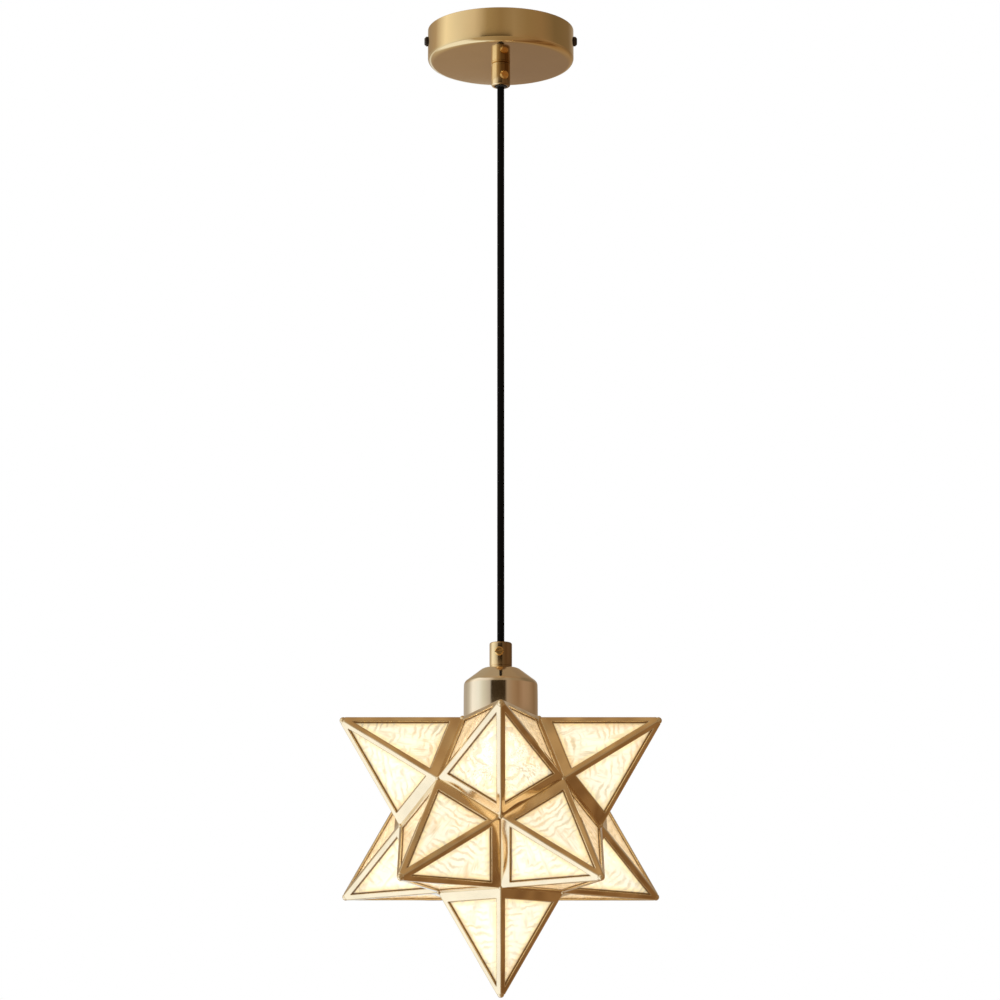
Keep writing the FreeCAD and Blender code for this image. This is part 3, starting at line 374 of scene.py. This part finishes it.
def grip_brass():
    """Brass with painted shade, darkening from the left of the lamp to its right."""
    material, tree, shader = new_material("grip_brass")
    light = brushed(tree, shader, GRIP_BRASS, 0.12)
    # Painted shade: the colour darkens across the grip from its left to its right.
    across = separated(tree, object_place(tree))[0]
    tone = mixed(tree, spread(tree, across, 0, 1, *GRIP_SHADE_SPAN), light, GRIP_PAINTED_SHADE)
    tree.links.new(tone, shader.inputs["Base Color"])
    return material


# ---- moulded and sheathed surfaces ---------------------------------------------------
def plain(name, colour, roughness, coat=0.0, gloss=0.5, grain=0.15):
    """A moulded or sheathed surface with a fine texture."""
    material, tree, shader = new_material(name)
    fine = texture(tree, "ShaderNodeTexNoise", object_place(tree), Scale=FINE_TEXTURE, Detail=3.0)
    specks = fine.outputs["Fac"]
    darker = tuple(channel * SPECKLE for channel in colour)
    tone = mixed(tree, spread(tree, specks, 0, 1), colour, darker)
    tree.links.new(tone, shader.inputs["Base Color"])
    roughnesses = spread(tree, specks, *(roughness * share for share in FINE_GLOSS))
    tree.links.new(roughnesses, shader.inputs["Roughness"])
    tree.links.new(bumped(tree, specks, grain, FINE_DEPTH), shader.inputs["Normal"])
    shader.inputs["Coat Weight"].default_value = coat
    shader.inputs["Specular IOR Level"].default_value = gloss
    return material


def striped_core():
    """The green and yellow of an earth wire."""
    material, tree, shader = new_material("earth_core")
    wave = texture(
        tree, "ShaderNodeTexWave", object_place(tree), Scale=STRIPE_SCALE, Distortion=0.4)
    stripes = spread(tree, wave.outputs["Fac"], 0, 1, *STRIPE_EDGE)
    tree.links.new(mixed(tree, stripes, EARTH_GREEN, EARTH_YELLOW), shader.inputs["Base Color"])
    shader.inputs["Roughness"].default_value = 0.45
    return material


# ---- glass ---------------------------------------------------------------------------
def about_bulb(tree):
    """Places measured from the bulb, drawn together from front to back."""
    middle = GLOBE_CENTRE + Vector((0, 0, GLOW_RISE))
    offset = vector_changed(tree, "SUBTRACT", object_place(tree), middle)
    return vector_changed(tree, "MULTIPLY", offset, (1, GLOW_DEPTH, 1))


def bulb_reach(tree):
    """How far a place lies from the bulb, measured in the same way."""
    return vector_changed(tree, "LENGTH", about_bulb(tree))


def refraction_rings_about_bulb(tree):
    """Uneven rings about the bulb, painted refraction of its light in the ripples."""
    rings = texture(
        tree, "ShaderNodeTexWave", about_bulb(tree),
        Scale=RING_SCALE, Distortion=8.0, Detail=3.0, Detail_Scale=1.4)
    rings.wave_type = "RINGS"
    rings.rings_direction = "SPHERICAL"
    return spread(tree, rings.outputs["Fac"], 0, 1, *RING_RANGE)


def strokes_at_bulb(tree):
    """Noise that is narrow across the rays that leave the bulb and long along them."""
    offset = about_bulb(tree)
    ray = vector_changed(tree, "NORMALIZE", offset)
    marks = texture(
        tree, "ShaderNodeTexNoise", vector_changed(tree, "SCALE", ray, STROKE_CELLS_ACROSS),
        Scale=1.0, Detail=2.0, Distortion=0.5)
    marks.noise_dimensions = "4D"
    reach = vector_changed(tree, "LENGTH", offset)
    tree.links.new(combined(tree, "MULTIPLY", reach, STROKE_CELLS_ALONG), marks.inputs["W"])
    return spread(tree, marks.outputs["Fac"], 0, 1, *STROKE_RANGE)


def ripple_marks_and_refraction(tree):
    """Broken rings about the bulb, and strokes that point at it, in patches: partly the glass's own
    ripple marks, partly painted refraction of the bulb's light, stronger near the bulb.
    """
    cells = texture(tree, "ShaderNodeTexNoise", object_place(tree), Scale=PATCH_CELLS, Detail=2.0)
    patches = cells.outputs["Fac"]
    rings = combined(
        tree, "MULTIPLY", refraction_rings_about_bulb(tree), spread(tree, patches, 0, 1, *RING_PATCHES))
    strokes = combined(
        tree, "MULTIPLY", strokes_at_bulb(tree), spread(tree, patches, 1, 0, *STROKE_PATCHES))
    # Painted light: the marks grow stronger near the bulb.
    nearness = spread(tree, bulb_reach(tree), NEAR_BULB_REFRACTION, 1.0, *NEAR_RANGE)
    return combined(tree, "MULTIPLY", combined(tree, "MAXIMUM", rings, strokes), nearness)


def window_edge(tree):
    """How many millimetres a place on a pane lies in from the nearest strip."""
    edges = tree.nodes.new("ShaderNodeAttribute")
    edges.attribute_name = WINDOW_EDGES
    first_ridge, other_ridge, valley = separated(tree, edges.outputs["Vector"])
    ridges = combined(tree, "MINIMUM", first_ridge, other_ridge)
    return combined(tree, "MINIMUM", ridges, valley)


def glass_colour(tree, marks):
    """Cream glass with its marks; a gold glow of painted light near the strips, a dark line of
    painted shadow right at them, and a peach painted reflection where it slants.
    """
    edge = window_edge(tree)
    clouds = texture(tree, "ShaderNodeTexNoise", object_place(tree), Scale=GLASS_CLOUDS, Detail=3.0)
    tones = spread(tree, clouds.outputs["Fac"], 0, 1, *CLOUD_RANGE)
    marked = mixed(tree, tones, GLASS_MARK, GLASS_BUFF)
    # Painted light: a gold glow on the glass near the strips.
    golden = mixed(tree, marks, mixed(tree, tones, GLASS_GOLD_GLOW, GLASS_HONEY_GLOW), marked)
    creamy = mixed(tree, marks, mixed(tree, tones, GLASS_CREAM, GLASS_IVORY), marked)
    glass = mixed(tree, spread(tree, edge, 0, 1, *GOLD_GLOW_EDGE), golden, creamy)
    # Painted reflection: slanting glass turns peach.
    slant = tree.nodes.new("ShaderNodeLayerWeight").outputs["Facing"]
    glass = mixed(tree, spread(tree, slant, 0, 1, *PEACH_REFLECTION_SLANT), glass, GLASS_PEACH_REFLECTION)
    # Painted shadow: a dark line right at the strips.
    return mixed(tree, spread(tree, edge, 0, 1, *RIM_SHADOW_LINE), GLASS_RIM_SHADOW, glass)


def rippled_glass():
    """Milky rippled glass that glows with painted light: marks about the bulb, partly painted
    refraction of its light, a painted gold glow at the edges and a dark line of painted shadow at
    the strips.
    """
    material, tree, shader = new_material("rippled_glass")
    marks = ripple_marks_and_refraction(tree)
    colour = glass_colour(tree, marks)
    tree.links.new(colour, shader.inputs["Base Color"])
    tree.links.new(colour, shader.inputs["Emission Color"])
    # The panes glow with painted light in place of the bulb's light through the glass: less on the
    # marks, most where the bulb lies close behind.
    glow = spread(tree, bulb_reach(tree), NEAR_BULB_PAINTED_GLOW, 0.0, *NEAR_BULB_GLOW_RANGE)
    light = combined(tree, "ADD", spread(tree, marks, PANE_PAINTED_GLOW, MARK_PAINTED_GLOW, 0, 1), glow)
    tree.links.new(light, shader.inputs["Emission Strength"])
    tree.links.new(bumped(tree, marks, 0.6, MARK_DEPTH), shader.inputs["Normal"])
    shader.inputs["Transmission Weight"].default_value = 0.40
    shader.inputs["Roughness"].default_value = 0.14
    shader.inputs["IOR"].default_value = 1.45
    return material


def opal_glow():
    """The lit opal globe, whose light is faintly uneven."""
    material, tree, shader = new_material("opal_globe")
    clouds = texture(tree, "ShaderNodeTexNoise", object_place(tree), Scale=OPAL_CLOUDS, Detail=2.0)
    light = spread(tree, clouds.outputs["Fac"], *OPAL_LIGHT)
    tree.links.new(light, shader.inputs["Emission Strength"])
    shader.inputs["Emission Color"].default_value = (1.0, 0.80, 0.50, 1)
    shader.inputs["Base Color"].default_value = (0.95, 0.93, 0.88, 1)
    shader.inputs["Roughness"].default_value = 0.35
    return material


# ---- materials and slots -------------------------------------------------------------
def make_materials():
    """One material for each slot of the record."""
    return {
        "canopy_brass": metal("canopy_brass", SATIN_BRASS, 0.09, shade=0.97),
        "grip_brass": grip_brass(),
        "screw_brass": metal("screw_brass", AMBER_BRASS, 0.18),
        "screw_dark": metal("screw_dark", (0.06, 0.05, 0.045), 0.30),
        "cup_gold": metal("cup_gold", CHAMPAGNE, 0.09, shade=0.97),
        "zinc_steel": metal("zinc_steel", (0.66, 0.67, 0.69), 0.34, grain=0.1),
        "white_plastic": plain("white_plastic", (0.86, 0.86, 0.83), 0.5),
        "plain_brass": metal("plain_brass", (0.80, 0.62, 0.33), 0.26),
        "nylon": plain("nylon", (0.05, 0.05, 0.05), 0.45),
        "black_sheath": plain(
            "black_sheath", (0.006, 0.006, 0.006), 0.6, gloss=0.04, grain=0.02),
        "brown_core": plain("brown_core", (0.12, 0.05, 0.02), 0.45),
        "blue_core": plain("blue_core", (0.02, 0.09, 0.42), 0.45),
        "earth_core": striped_core(),
        "porcelain": plain("porcelain", (0.88, 0.86, 0.82), 0.3, coat=0.3),
        "black_plastic": plain("black_plastic", (0.02, 0.02, 0.02), 0.45),
        "frame_brass": strip_brass(),
        "rippled_glass": rippled_glass(),
        "bulb_metal": metal("bulb_metal", (0.82, 0.82, 0.83), 0.2),
        "bulb_insulator": plain("bulb_insulator", (0.02, 0.02, 0.025), 0.15, coat=0.5),
        "bulb_white": plain("bulb_white", (0.85, 0.85, 0.83), 0.35),
        "opal_globe": opal_glow(),
        "led_board": plain("led_board", (0.9, 0.9, 0.86), 0.4),
    }


def dress_nodes(materials):
    """Every solid of the frame gets the material of its slot."""
    for part in frame["record"]["subparts"]:
        mesh = NODES[part["node"]].data
        mesh.materials.clear()
        mesh.materials.append(materials[part["material_slot"]])


def dress(piece, materials, slot_name):
    """A new piece takes the material of a slot."""
    piece.data.materials.append(materials[slot_name])


# ---- cord ----------------------------------------------------------------------------
def make_cord(materials):
    """The free cord, straight because the star hangs from it."""
    curve = bpy.data.curves.new("hanging_cord_line", "CURVE")
    curve.dimensions = "3D"
    curve.bevel_depth = 1.0          # times each point's own radius
    curve.bevel_resolution = CORD_ROUNDNESS
    line = curve.splines.new("NURBS")
    drop = CORD_LOW.z - FLEX_CENTRE
    route = [
        (0, 0, FLEX_CENTRE),
        (0, 0, FLEX_CENTRE + drop * 0.25),
        (0, 0, FLEX_CENTRE + drop * 0.5),
        (0, 0, FLEX_CENTRE + drop * 0.75),
        (0, 0, CORD_LOW.z),
    ]
    line.points.add(len(route) - 1)
    for point, place in zip(line.points, route):
        point.co = (*place, 1)
        point.radius = CORD_DIAMETER / 2
    line.order_u = 3
    line.use_endpoint_u = True
    piece = bpy.data.objects.new("hanging_cord_line", curve)
    bpy.context.scene.collection.objects.link(piece)
    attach(piece, "hanging_cord")
    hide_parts("cord")
    dress(piece, materials, "black_sheath")


def make_cord_stub(materials):
    """The cord's last stretch below the upper grip, down to where it bends."""
    radius = CORD_DIAMETER / 2
    inside_bush = 1.0 * MM
    top = CORD_EXIT + inside_bush
    stub = turned("cord_stub", [
        (0, top, 0),
        (radius, top, 0),
        (radius, FLEX_CENTRE, 0),
        (0, FLEX_CENTRE, 0),
    ], "ceiling_fitting")
    dress(stub, materials, "black_sheath")


# ---- turned metal --------------------------------------------------------------------
def make_canopy(materials):
    """The spun canopy: a shallow round cover, open at the top, with a rounded lower edge."""
    outer = CANOPY_HIGH.x
    wall = 1.0 * MM
    grip_seat = 1.5 * MM             # how far the shell reaches in over the grip's end
    bore = UPPER_GRIP_HIGH.x - grip_seat
    rim_round = 0.3 * MM
    base_round = 4.2 * MM
    inner_round = 3.6 * MM
    top = CANOPY_HIGH.z
    base = CANOPY_LOW.z
    canopy = turned("spun_canopy", [
        (bore, base, 0),
        (outer, base, base_round),
        (outer, top, rim_round),
        (outer - wall, top, rim_round),
        (outer - wall, base + wall, inner_round),
        (bore, base + wall, 0),
    ], "ceiling_fitting")
    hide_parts("canopy_shell")
    dress(canopy, materials, "canopy_brass")


def make_cup(materials):
    """The spun cup: a flat top, a sloping shoulder, a crease and a straight open skirt."""
    outer = CUP_HIGH.x
    wall = 0.45 * MM
    flat = 11.8 * MM
    crease = 24.4 * MM
    bore = 5.1 * MM
    top = CUP_HIGH.z
    crease_level = top - 9.6 * MM
    belly_level = top - 17.5 * MM
    base = CUP_LOW.z
    shoulder_round = 2.0 * MM
    inner_round = 1.8 * MM
    belly_round = 5.0 * MM
    lip_round = 0.3 * MM
    cup = turned("spun_cup", [
        (bore, top, 0),
        (flat, top, shoulder_round),
        (crease, crease_level, shoulder_round),
        (outer, belly_level, belly_round),
        (outer, base, lip_round),
        (outer - wall, base, 0),
        (outer - wall, belly_level, belly_round),
        (crease - wall, crease_level - wall / 2, inner_round),
        (flat - wall / 2, top - wall, inner_round),
        (bore, top - wall, 0),
    ], "star_head")
    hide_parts("socket_cup")
    dress(cup, materials, "cup_gold")


def make_grip(name, low, high, node, mouth_up, body, materials):
    """A turned cord grip with a rounded mouth and a fine turned groove near its seam."""
    outer = high.x
    bore = 4.4 * MM
    hollow = 5.15 * MM
    lip = 1.5 * MM                   # thickness of the metal round the mouth
    mouth_round = 1.2 * MM
    bore_round = 0.3 * MM
    seam_round = 0.7 * MM
    groove_floor = outer - 0.25 * MM
    groove_near = 1.1 * MM           # from the seam
    groove_far = 1.6 * MM
    groove_slope = 0.1 * MM
    if mouth_up:
        mouth, seam, way = high.z, low.z, -1
    else:
        mouth, seam, way = low.z, high.z, 1
    grip = turned(name, [
        (bore, mouth, bore_round),
        (outer, mouth, mouth_round),
        (outer, seam - way * groove_far, groove_slope),
        (groove_floor, seam - way * (groove_far - groove_slope), 0),
        (groove_floor, seam - way * (groove_near + groove_slope), 0),
        (outer, seam - way * groove_near, groove_slope),
        (outer, seam, seam_round),
        (hollow, seam, 0),
        (hollow, mouth + way * lip, 0),
        (bore, mouth + way * lip, 0),
    ], body)
    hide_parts(node)
    dress(grip, materials, "grip_brass")


# ---- star ----------------------------------------------------------------------------
def compass(turn):
    """The level direction that many degrees from the front, towards +X."""
    angle = math.radians(turn)
    return Vector((math.sin(angle), -math.cos(angle), 0))


def star_axes():
    """The twelve five-fold axes of the star, by name."""
    reach = 2 * AXIS_COSINE
    up = Vector((0, 0, 1))
    axes = {"top": up, "bottom_point": -up}
    for k in range(POINT_SIDES):
        turn = 360 * k / POINT_SIDES
        half = 180 / POINT_SIDES
        axes[f"upper_point_{k + 1}"] = compass(turn) * reach + up * AXIS_COSINE
        axes[f"lower_point_{k + 1}"] = compass(turn + half) * reach - up * AXIS_COSINE
    return axes


def neighbours(axis):
    """The five axes next to this one, in order round it."""
    near = [
        other for other in star_axes().values()
        if abs(other.dot(axis) - AXIS_COSINE) < SAME_COSINE
    ]
    side = (near[0] - axis * near[0].dot(axis)).normalized()
    across = axis.cross(side)
    return sorted(near, key=lambda other: math.atan2(other.dot(across), other.dot(side)))


def valley_corner(first, second, third):
    """Where the faces square to three neighbouring axes meet, from the centre."""
    middle = (first + second + third).normalized()
    return middle * (FACE_DISTANCE / middle.dot(first))


class StarFace:
    """One triangular face, with x along its base, y up to its tip and depth inward."""

    def __init__(self, axis, normal, left, right):
        tip = axis * STAR_RADIUS
        self.normal = normal
        self.base_middle = (left + right) / 2
        self.along = (right - left).normalized()
        self.upward = (tip - self.base_middle).normalized()
        self.height = (tip - self.base_middle).length
        self.half_tip = math.atan2((right - left).length / 2, self.height)

    def at(self, x, y, depth):
        place = self.base_middle + self.along * x + self.upward * y - self.normal * depth
        return STAR_CENTRE + place


def star_faces(axis):
    """The five faces of the point on this axis."""
    around = neighbours(axis)
    faces = []
    for k, normal in enumerate(around):
        left = valley_corner(axis, around[k - 1], normal)
        right = valley_corner(axis, normal, around[(k + 1) % POINT_SIDES])
        faces.append(StarFace(axis, normal, left, right))
    return faces


def ripple(place, edge_share):
    """The height of the glass's ripple, which dies out at the edge of a pane."""
    from_bulb = place - GLOBE_CENTRE
    sway = noise.noise(place * SWAY_CELLS)
    sway += SMALL_SWAY * noise.noise(place * SMALL_SWAY_CELLS)
    phase = (from_bulb.length + sway * RIPPLE_SWAY) / RIPPLE_LENGTH
    strength = CALM_STRENGTH + CALM_CHANGE * noise.noise(place * CALM_CELLS)
    waves = math.sin(2 * math.pi * phase) * strength
    return RIPPLE_HEIGHT * waves * min(1.0, edge_share * EDGE_FADE)


def edge_distances(face, x, y):
    """How far a place on a face lies in from its strips, in millimetres."""
    ridge = (face.height - y) * math.sin(face.half_tip)
    across = x * math.cos(face.half_tip)
    return Vector((
        ridge - across - RIDGE_STRIP,
        ridge + across - RIDGE_STRIP,
        y - VALLEY_STRIP,
    )) / MM


def pane_layer(bm, edges, face, depth):
    """The rows of vertices of a pane's front or back, each row one shorter than the last."""
    tip = face.height - PANE_RIDGE_INSET / math.sin(face.half_tip)
    foot = PANE_VALLEY_INSET
    rows = []
    for row in range(PANE_ROWS + 1):
        y = foot + (tip - foot) * row / PANE_ROWS
        half = (tip - y) * math.tan(face.half_tip)
        steps = PANE_ROWS - row
        line = []
        for step in range(steps + 1):
            share = step / steps if steps else 0.5
            x = half * (2 * share - 1)
            edge_share = min(row, step, steps - step) / PANE_ROWS
            place = face.at(x, y, depth)
            rise = max(0.0, ripple(place, edge_share) + RIPPLE_HEIGHT)
            inward = rise if depth == STRIP_METAL else -rise
            corner = bm.verts.new(place - face.normal * inward)
            corner[edges] = edge_distances(face, x, y)
            line.append(corner)
        rows.append(line)
    return rows


def fill_layer(bm, rows):
    """Triangles between the rows of a pane's front or back."""
    for lower, upper in zip(rows, rows[1:]):
        for step in range(len(upper)):
            bm.faces.new((lower[step], lower[step + 1], upper[step]))
            if step + 1 < len(upper):
                bm.faces.new((lower[step + 1], upper[step + 1], upper[step]))


def pane_border(rows):
    """The vertices round a pane's edge, in order."""
    right_side = [row[-1] for row in rows]
    left_side = [row[0] for row in rows]
    return rows[0] + right_side[1:] + left_side[-2:0:-1]


def add_pane(bm, edges, face):
    """One rippled pane, behind the strips of its face."""
    borders = []
    for depth in (STRIP_METAL, STRIP_METAL + PANE_THICKNESS):
        rows = pane_layer(bm, edges, face, depth)
        fill_layer(bm, rows)
        borders.append(pane_border(rows))
    front, back = borders
    for k in range(len(front)):
        after = (k + 1) % len(front)
        bm.faces.new((front[k], front[after], back[after], back[k]))


def make_panes(materials):
    """The panes of each ring of points, in one piece for each ring."""
    for ring in ("upper", "lower", "bottom"):
        bm = bmesh.new()
        edges = bm.verts.layers.float_vector.new(WINDOW_EDGES)
        for name, axis in star_axes().items():
            if name.startswith(ring):
                for face in star_faces(axis):
                    add_pane(bm, edges, face)
        panes = finished_object(f"rippled_{ring}_panes", bm, "star_head", GLASS_CREASE)
        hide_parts(f"{ring}_point_panes")
        dress(panes, materials, "rippled_glass")


def make_beads(materials):
    """The solder drops where three valleys meet."""
    corners = []
    for axis in star_axes().values():
        around = neighbours(axis)
        for k, normal in enumerate(around):
            corner = valley_corner(axis, around[k - 1], normal)
            if all((corner - other).length > MM for other in corners):
                corners.append(corner)
    flattened = Matrix.Diagonal((1.0, 1.0, BEAD_FLATNESS, 1.0))
    bm = bmesh.new()
    for corner in corners:
        outward = corner.normalized()
        place = STAR_CENTRE + corner - outward * BEAD_SINK
        upright = outward.to_track_quat("Z", "Y").to_matrix().to_4x4()
        bmesh.ops.create_icosphere(
            bm, subdivisions=BEAD_FINENESS, radius=BEAD_RADIUS,
            matrix=Matrix.Translation(place) @ upright @ flattened)
    beads = finished_object("solder_beads", bm, "star_head")
    dress(beads, materials, "frame_brass")


# ---- bulb ----------------------------------------------------------------------------
def make_globe(materials):
    """The opal globe, a ball cut flat where it sits on its collar."""
    seat = GLOBE_HIGH.z
    start = math.asin((seat - GLOBE_CENTRE.z) / GLOBE_RADIUS)
    outline = [(0, seat, 0)]
    for step in range(GLOBE_STEPS + 1):
        turn = start - (start + math.pi / 2) * step / GLOBE_STEPS
        height = GLOBE_CENTRE.z + GLOBE_RADIUS * math.sin(turn)
        outline.append((GLOBE_RADIUS * math.cos(turn), height, 0))
    globe = turned("opal_bulb_globe", outline, "bulb")
    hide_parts("bulb_globe")
    dress(globe, materials, "opal_globe")


# ---- studio --------------------------------------------------------------------------
def make_camera():
    """The camera in front of the lamp and a little below it, looking up."""
    data = bpy.data.cameras.new("camera")
    data.lens = CAMERA_LENS
    data.sensor_width = CAMERA_SENSOR
    camera = bpy.data.objects.new("camera", data)
    camera.location = CAMERA_PLACE
    camera.rotation_euler = (math.pi / 2 + CAMERA_PITCH, 0, 0)
    bpy.context.scene.collection.objects.link(camera)
    bpy.context.scene.camera = camera


def make_floor():
    """A wide pale floor, well below the lamp, that the polished metal doesn't mirror."""
    bm = bmesh.new()
    bmesh.ops.create_circle(
        bm, cap_ends=True, radius=FLOOR_RADIUS, segments=FLOOR_SIDES,
        matrix=Matrix.Translation((0, 0, FLOOR_LEVEL)))
    mesh = bpy.data.meshes.new("studio_floor")
    bm.to_mesh(mesh)
    bm.free()
    floor = bpy.data.objects.new("studio_floor", mesh)
    bpy.context.scene.collection.objects.link(floor)
    material, _, shader = new_material("studio_floor")
    shader.inputs["Base Color"].default_value = (0.85, 0.84, 0.82, 1)
    shader.inputs["Roughness"].default_value = 0.9
    shader.inputs["Emission Color"].default_value = (0.78, 0.89, 1.0, 1)
    shader.inputs["Emission Strength"].default_value = FLOOR_LIGHT
    mesh.materials.append(material)
    floor.visible_glossy = False


# The room that the metal mirrors: soft bands of light round the horizon, each
# at its degrees to the right of the front, with the red, green and blue of its light.
LOW_BANDS = (
    (-180, (0.36, 0.27, 0.20)), (-130, (0.60, 0.52, 0.42)), (-112, (1.12, 1.22, 1.36)),
    (-60, (1.10, 1.18, 1.30)), (-44, (0.55, 0.46, 0.33)), (0, (0.36, 0.27, 0.165)),
    (40, (0.36, 0.24, 0.14)), (66, (0.17, 0.085, 0.035)), (78, (0.30, 0.17, 0.075)),
    (90, (0.18, 0.09, 0.035)), (108, (0.38, 0.24, 0.12)), (140, (0.40, 0.29, 0.19)),
    (180, (0.29, 0.215, 0.17)),
)
LEVEL_BANDS = (
    (-180, (0.88, 0.94, 1.0)), (-140, (0.80, 0.80, 0.78)), (-90, (0.95, 1.0, 1.05)),
    (-40, (0.50, 0.42, 0.30)), (20, (0.36, 0.26, 0.15)), (80, (0.30, 0.18, 0.09)),
    (140, (0.34, 0.23, 0.13)), (180, (0.45, 0.34, 0.22)),
)
SIDE_BANDS = (
    (-180, (0.50, 0.42, 0.34)), (-135, (0.48, 0.43, 0.36)), (-118, (0.60, 0.56, 0.48)),
    (-98, (1.05, 1.04, 0.99)), (-74, (0.95, 0.97, 0.92)), (-56, (0.73, 0.72, 0.62)),
    (-34, (0.52, 0.47, 0.40)), (-29, (0.04, 0.025, 0.012)), (13, (0.035, 0.02, 0.008)),
    (20, (0.41, 0.30, 0.20)), (39, (0.36, 0.23, 0.13)), (56, (0.30, 0.18, 0.095)),
    (76, (0.40, 0.26, 0.16)), (96, (0.38, 0.25, 0.15)), (125, (0.26, 0.16, 0.085)),
    (150, (0.30, 0.21, 0.13)), (180, (0.50, 0.42, 0.34)),
)
CANOPY_BANDS = (
    (-180, (0.50, 0.42, 0.34)), (-155, (0.38, 0.29, 0.19)), (-125, (0.52, 0.42, 0.31)),
    (-97, (1.12, 1.08, 0.97)), (-72, (0.94, 0.90, 0.82)), (-43, (0.80, 0.72, 0.61)),
    (-21, (0.41, 0.32, 0.20)), (0, (0.33, 0.24, 0.14)), (21, (0.39, 0.30, 0.20)),
    (43, (0.33, 0.24, 0.14)), (67, (0.32, 0.22, 0.13)), (95, (0.22, 0.16, 0.094)),
    (135, (0.24, 0.17, 0.10)), (180, (0.50, 0.42, 0.34)),
)
UPPER_BANDS = (
    (-180, (0.43, 0.34, 0.22)), (-135, (0.42, 0.34, 0.23)), *CANOPY_BANDS[3:-2],
    (150, (0.29, 0.20, 0.12)), (180, (0.36, 0.25, 0.14)),
)
OVERHEAD_BANDS = (
    (-180, (0.41, 0.32, 0.205)), (-60, (0.46, 0.34, 0.21)), (-25, (0.40, 0.27, 0.15)),
    (-6, (0.50, 0.34, 0.18)), (10, (0.34, 0.21, 0.105)), (30, (0.44, 0.29, 0.15)),
    (60, (0.33, 0.21, 0.115)), (180, (0.34, 0.24, 0.135)),
)
# Above the low bands, from below to overhead: the height where a row begins, the height
# from which it shows alone, and its bands. A height is 0 at the horizon and 1 overhead.
BAND_ROWS = (
    (-0.25, -0.18, LEVEL_BANDS),
    (-0.02, 0.03, CANOPY_BANDS),
    (0.11, 0.135, SIDE_BANDS),
    (0.245, 0.265, CANOPY_BANDS),
    (0.42, 0.46, UPPER_BANDS),
    (0.76, 0.84, OVERHEAD_BANDS),
)


def bands(tree, share, stops):
    """Colours round the horizon, from stops of degrees to the right of the front."""
    node = tree.nodes.new("ShaderNodeValToRGB")
    ramp = node.color_ramp
    for _ in stops[2:]:
        ramp.elements.new(0.5)
    for element, (degrees, colour) in zip(ramp.elements, stops):
        element.position = (degrees + 180) / 360
        element.color = (*colour, 1)
    tree.links.new(share, node.inputs["Fac"])
    return node.outputs["Color"]


def room_light(tree):
    """The colour of the light from each direction."""
    direction = tree.nodes.new("ShaderNodeTexCoord").outputs["Generated"]
    right, back, height = separated(tree, direction)
    turn = combined(tree, "ARCTAN2", right, combined(tree, "MULTIPLY", back, -1.0))
    share = spread(tree, turn, 0, 1, -math.pi, math.pi)
    whole = bands(tree, share, LOW_BANDS)
    for start, end, row in BAND_ROWS:
        whole = mixed(tree, spread(tree, height, 0, 1, start, end), whole, bands(tree, share, row))
    return whole


def make_studio():
    """Soft light, bright at the left and warm brown at the right, before a white backdrop."""
    world = bpy.data.worlds.new("studio")
    world.use_nodes = True
    bpy.context.scene.world = world
    tree = world.node_tree
    tree.nodes.clear()
    light = tree.nodes.new("ShaderNodeBackground")
    tree.links.new(room_light(tree), light.inputs["Color"])
    backdrop = tree.nodes.new("ShaderNodeBackground")
    backdrop.inputs["Color"].default_value = (1, 1, 1, 1)
    path = tree.nodes.new("ShaderNodeLightPath").outputs
    seen = combined(tree, "MAXIMUM", path["Is Camera Ray"], path["Is Transmission Ray"])
    room = tree.nodes.new("ShaderNodeMixShader")
    tree.links.new(seen, room.inputs["Fac"])
    tree.links.new(light.outputs["Background"], room.inputs[1])
    tree.links.new(backdrop.outputs["Background"], room.inputs[2])
    output = tree.nodes.new("ShaderNodeOutputWorld")
    tree.links.new(room.outputs["Shader"], output.inputs["Surface"])
    bpy.context.scene.view_settings.view_transform = "Standard"


make_camera()
materials = make_materials()
make_cord(materials)
make_cord_stub(materials)
dress_nodes(materials)
make_canopy(materials)
make_grip(
    "upper_cord_grip", UPPER_GRIP_LOW, UPPER_GRIP_HIGH, "canopy_cord_grip", False,
    "ceiling_fitting", materials)
make_grip(
    "lower_cord_grip", LOWER_GRIP_LOW, LOWER_GRIP_HIGH, "lamp_cord_grip", True,
    "star_head", materials)
make_cup(materials)
make_panes(materials)
make_beads(materials)
make_globe(materials)
make_floor()
make_studio()

bpy.context.view_layer.update()
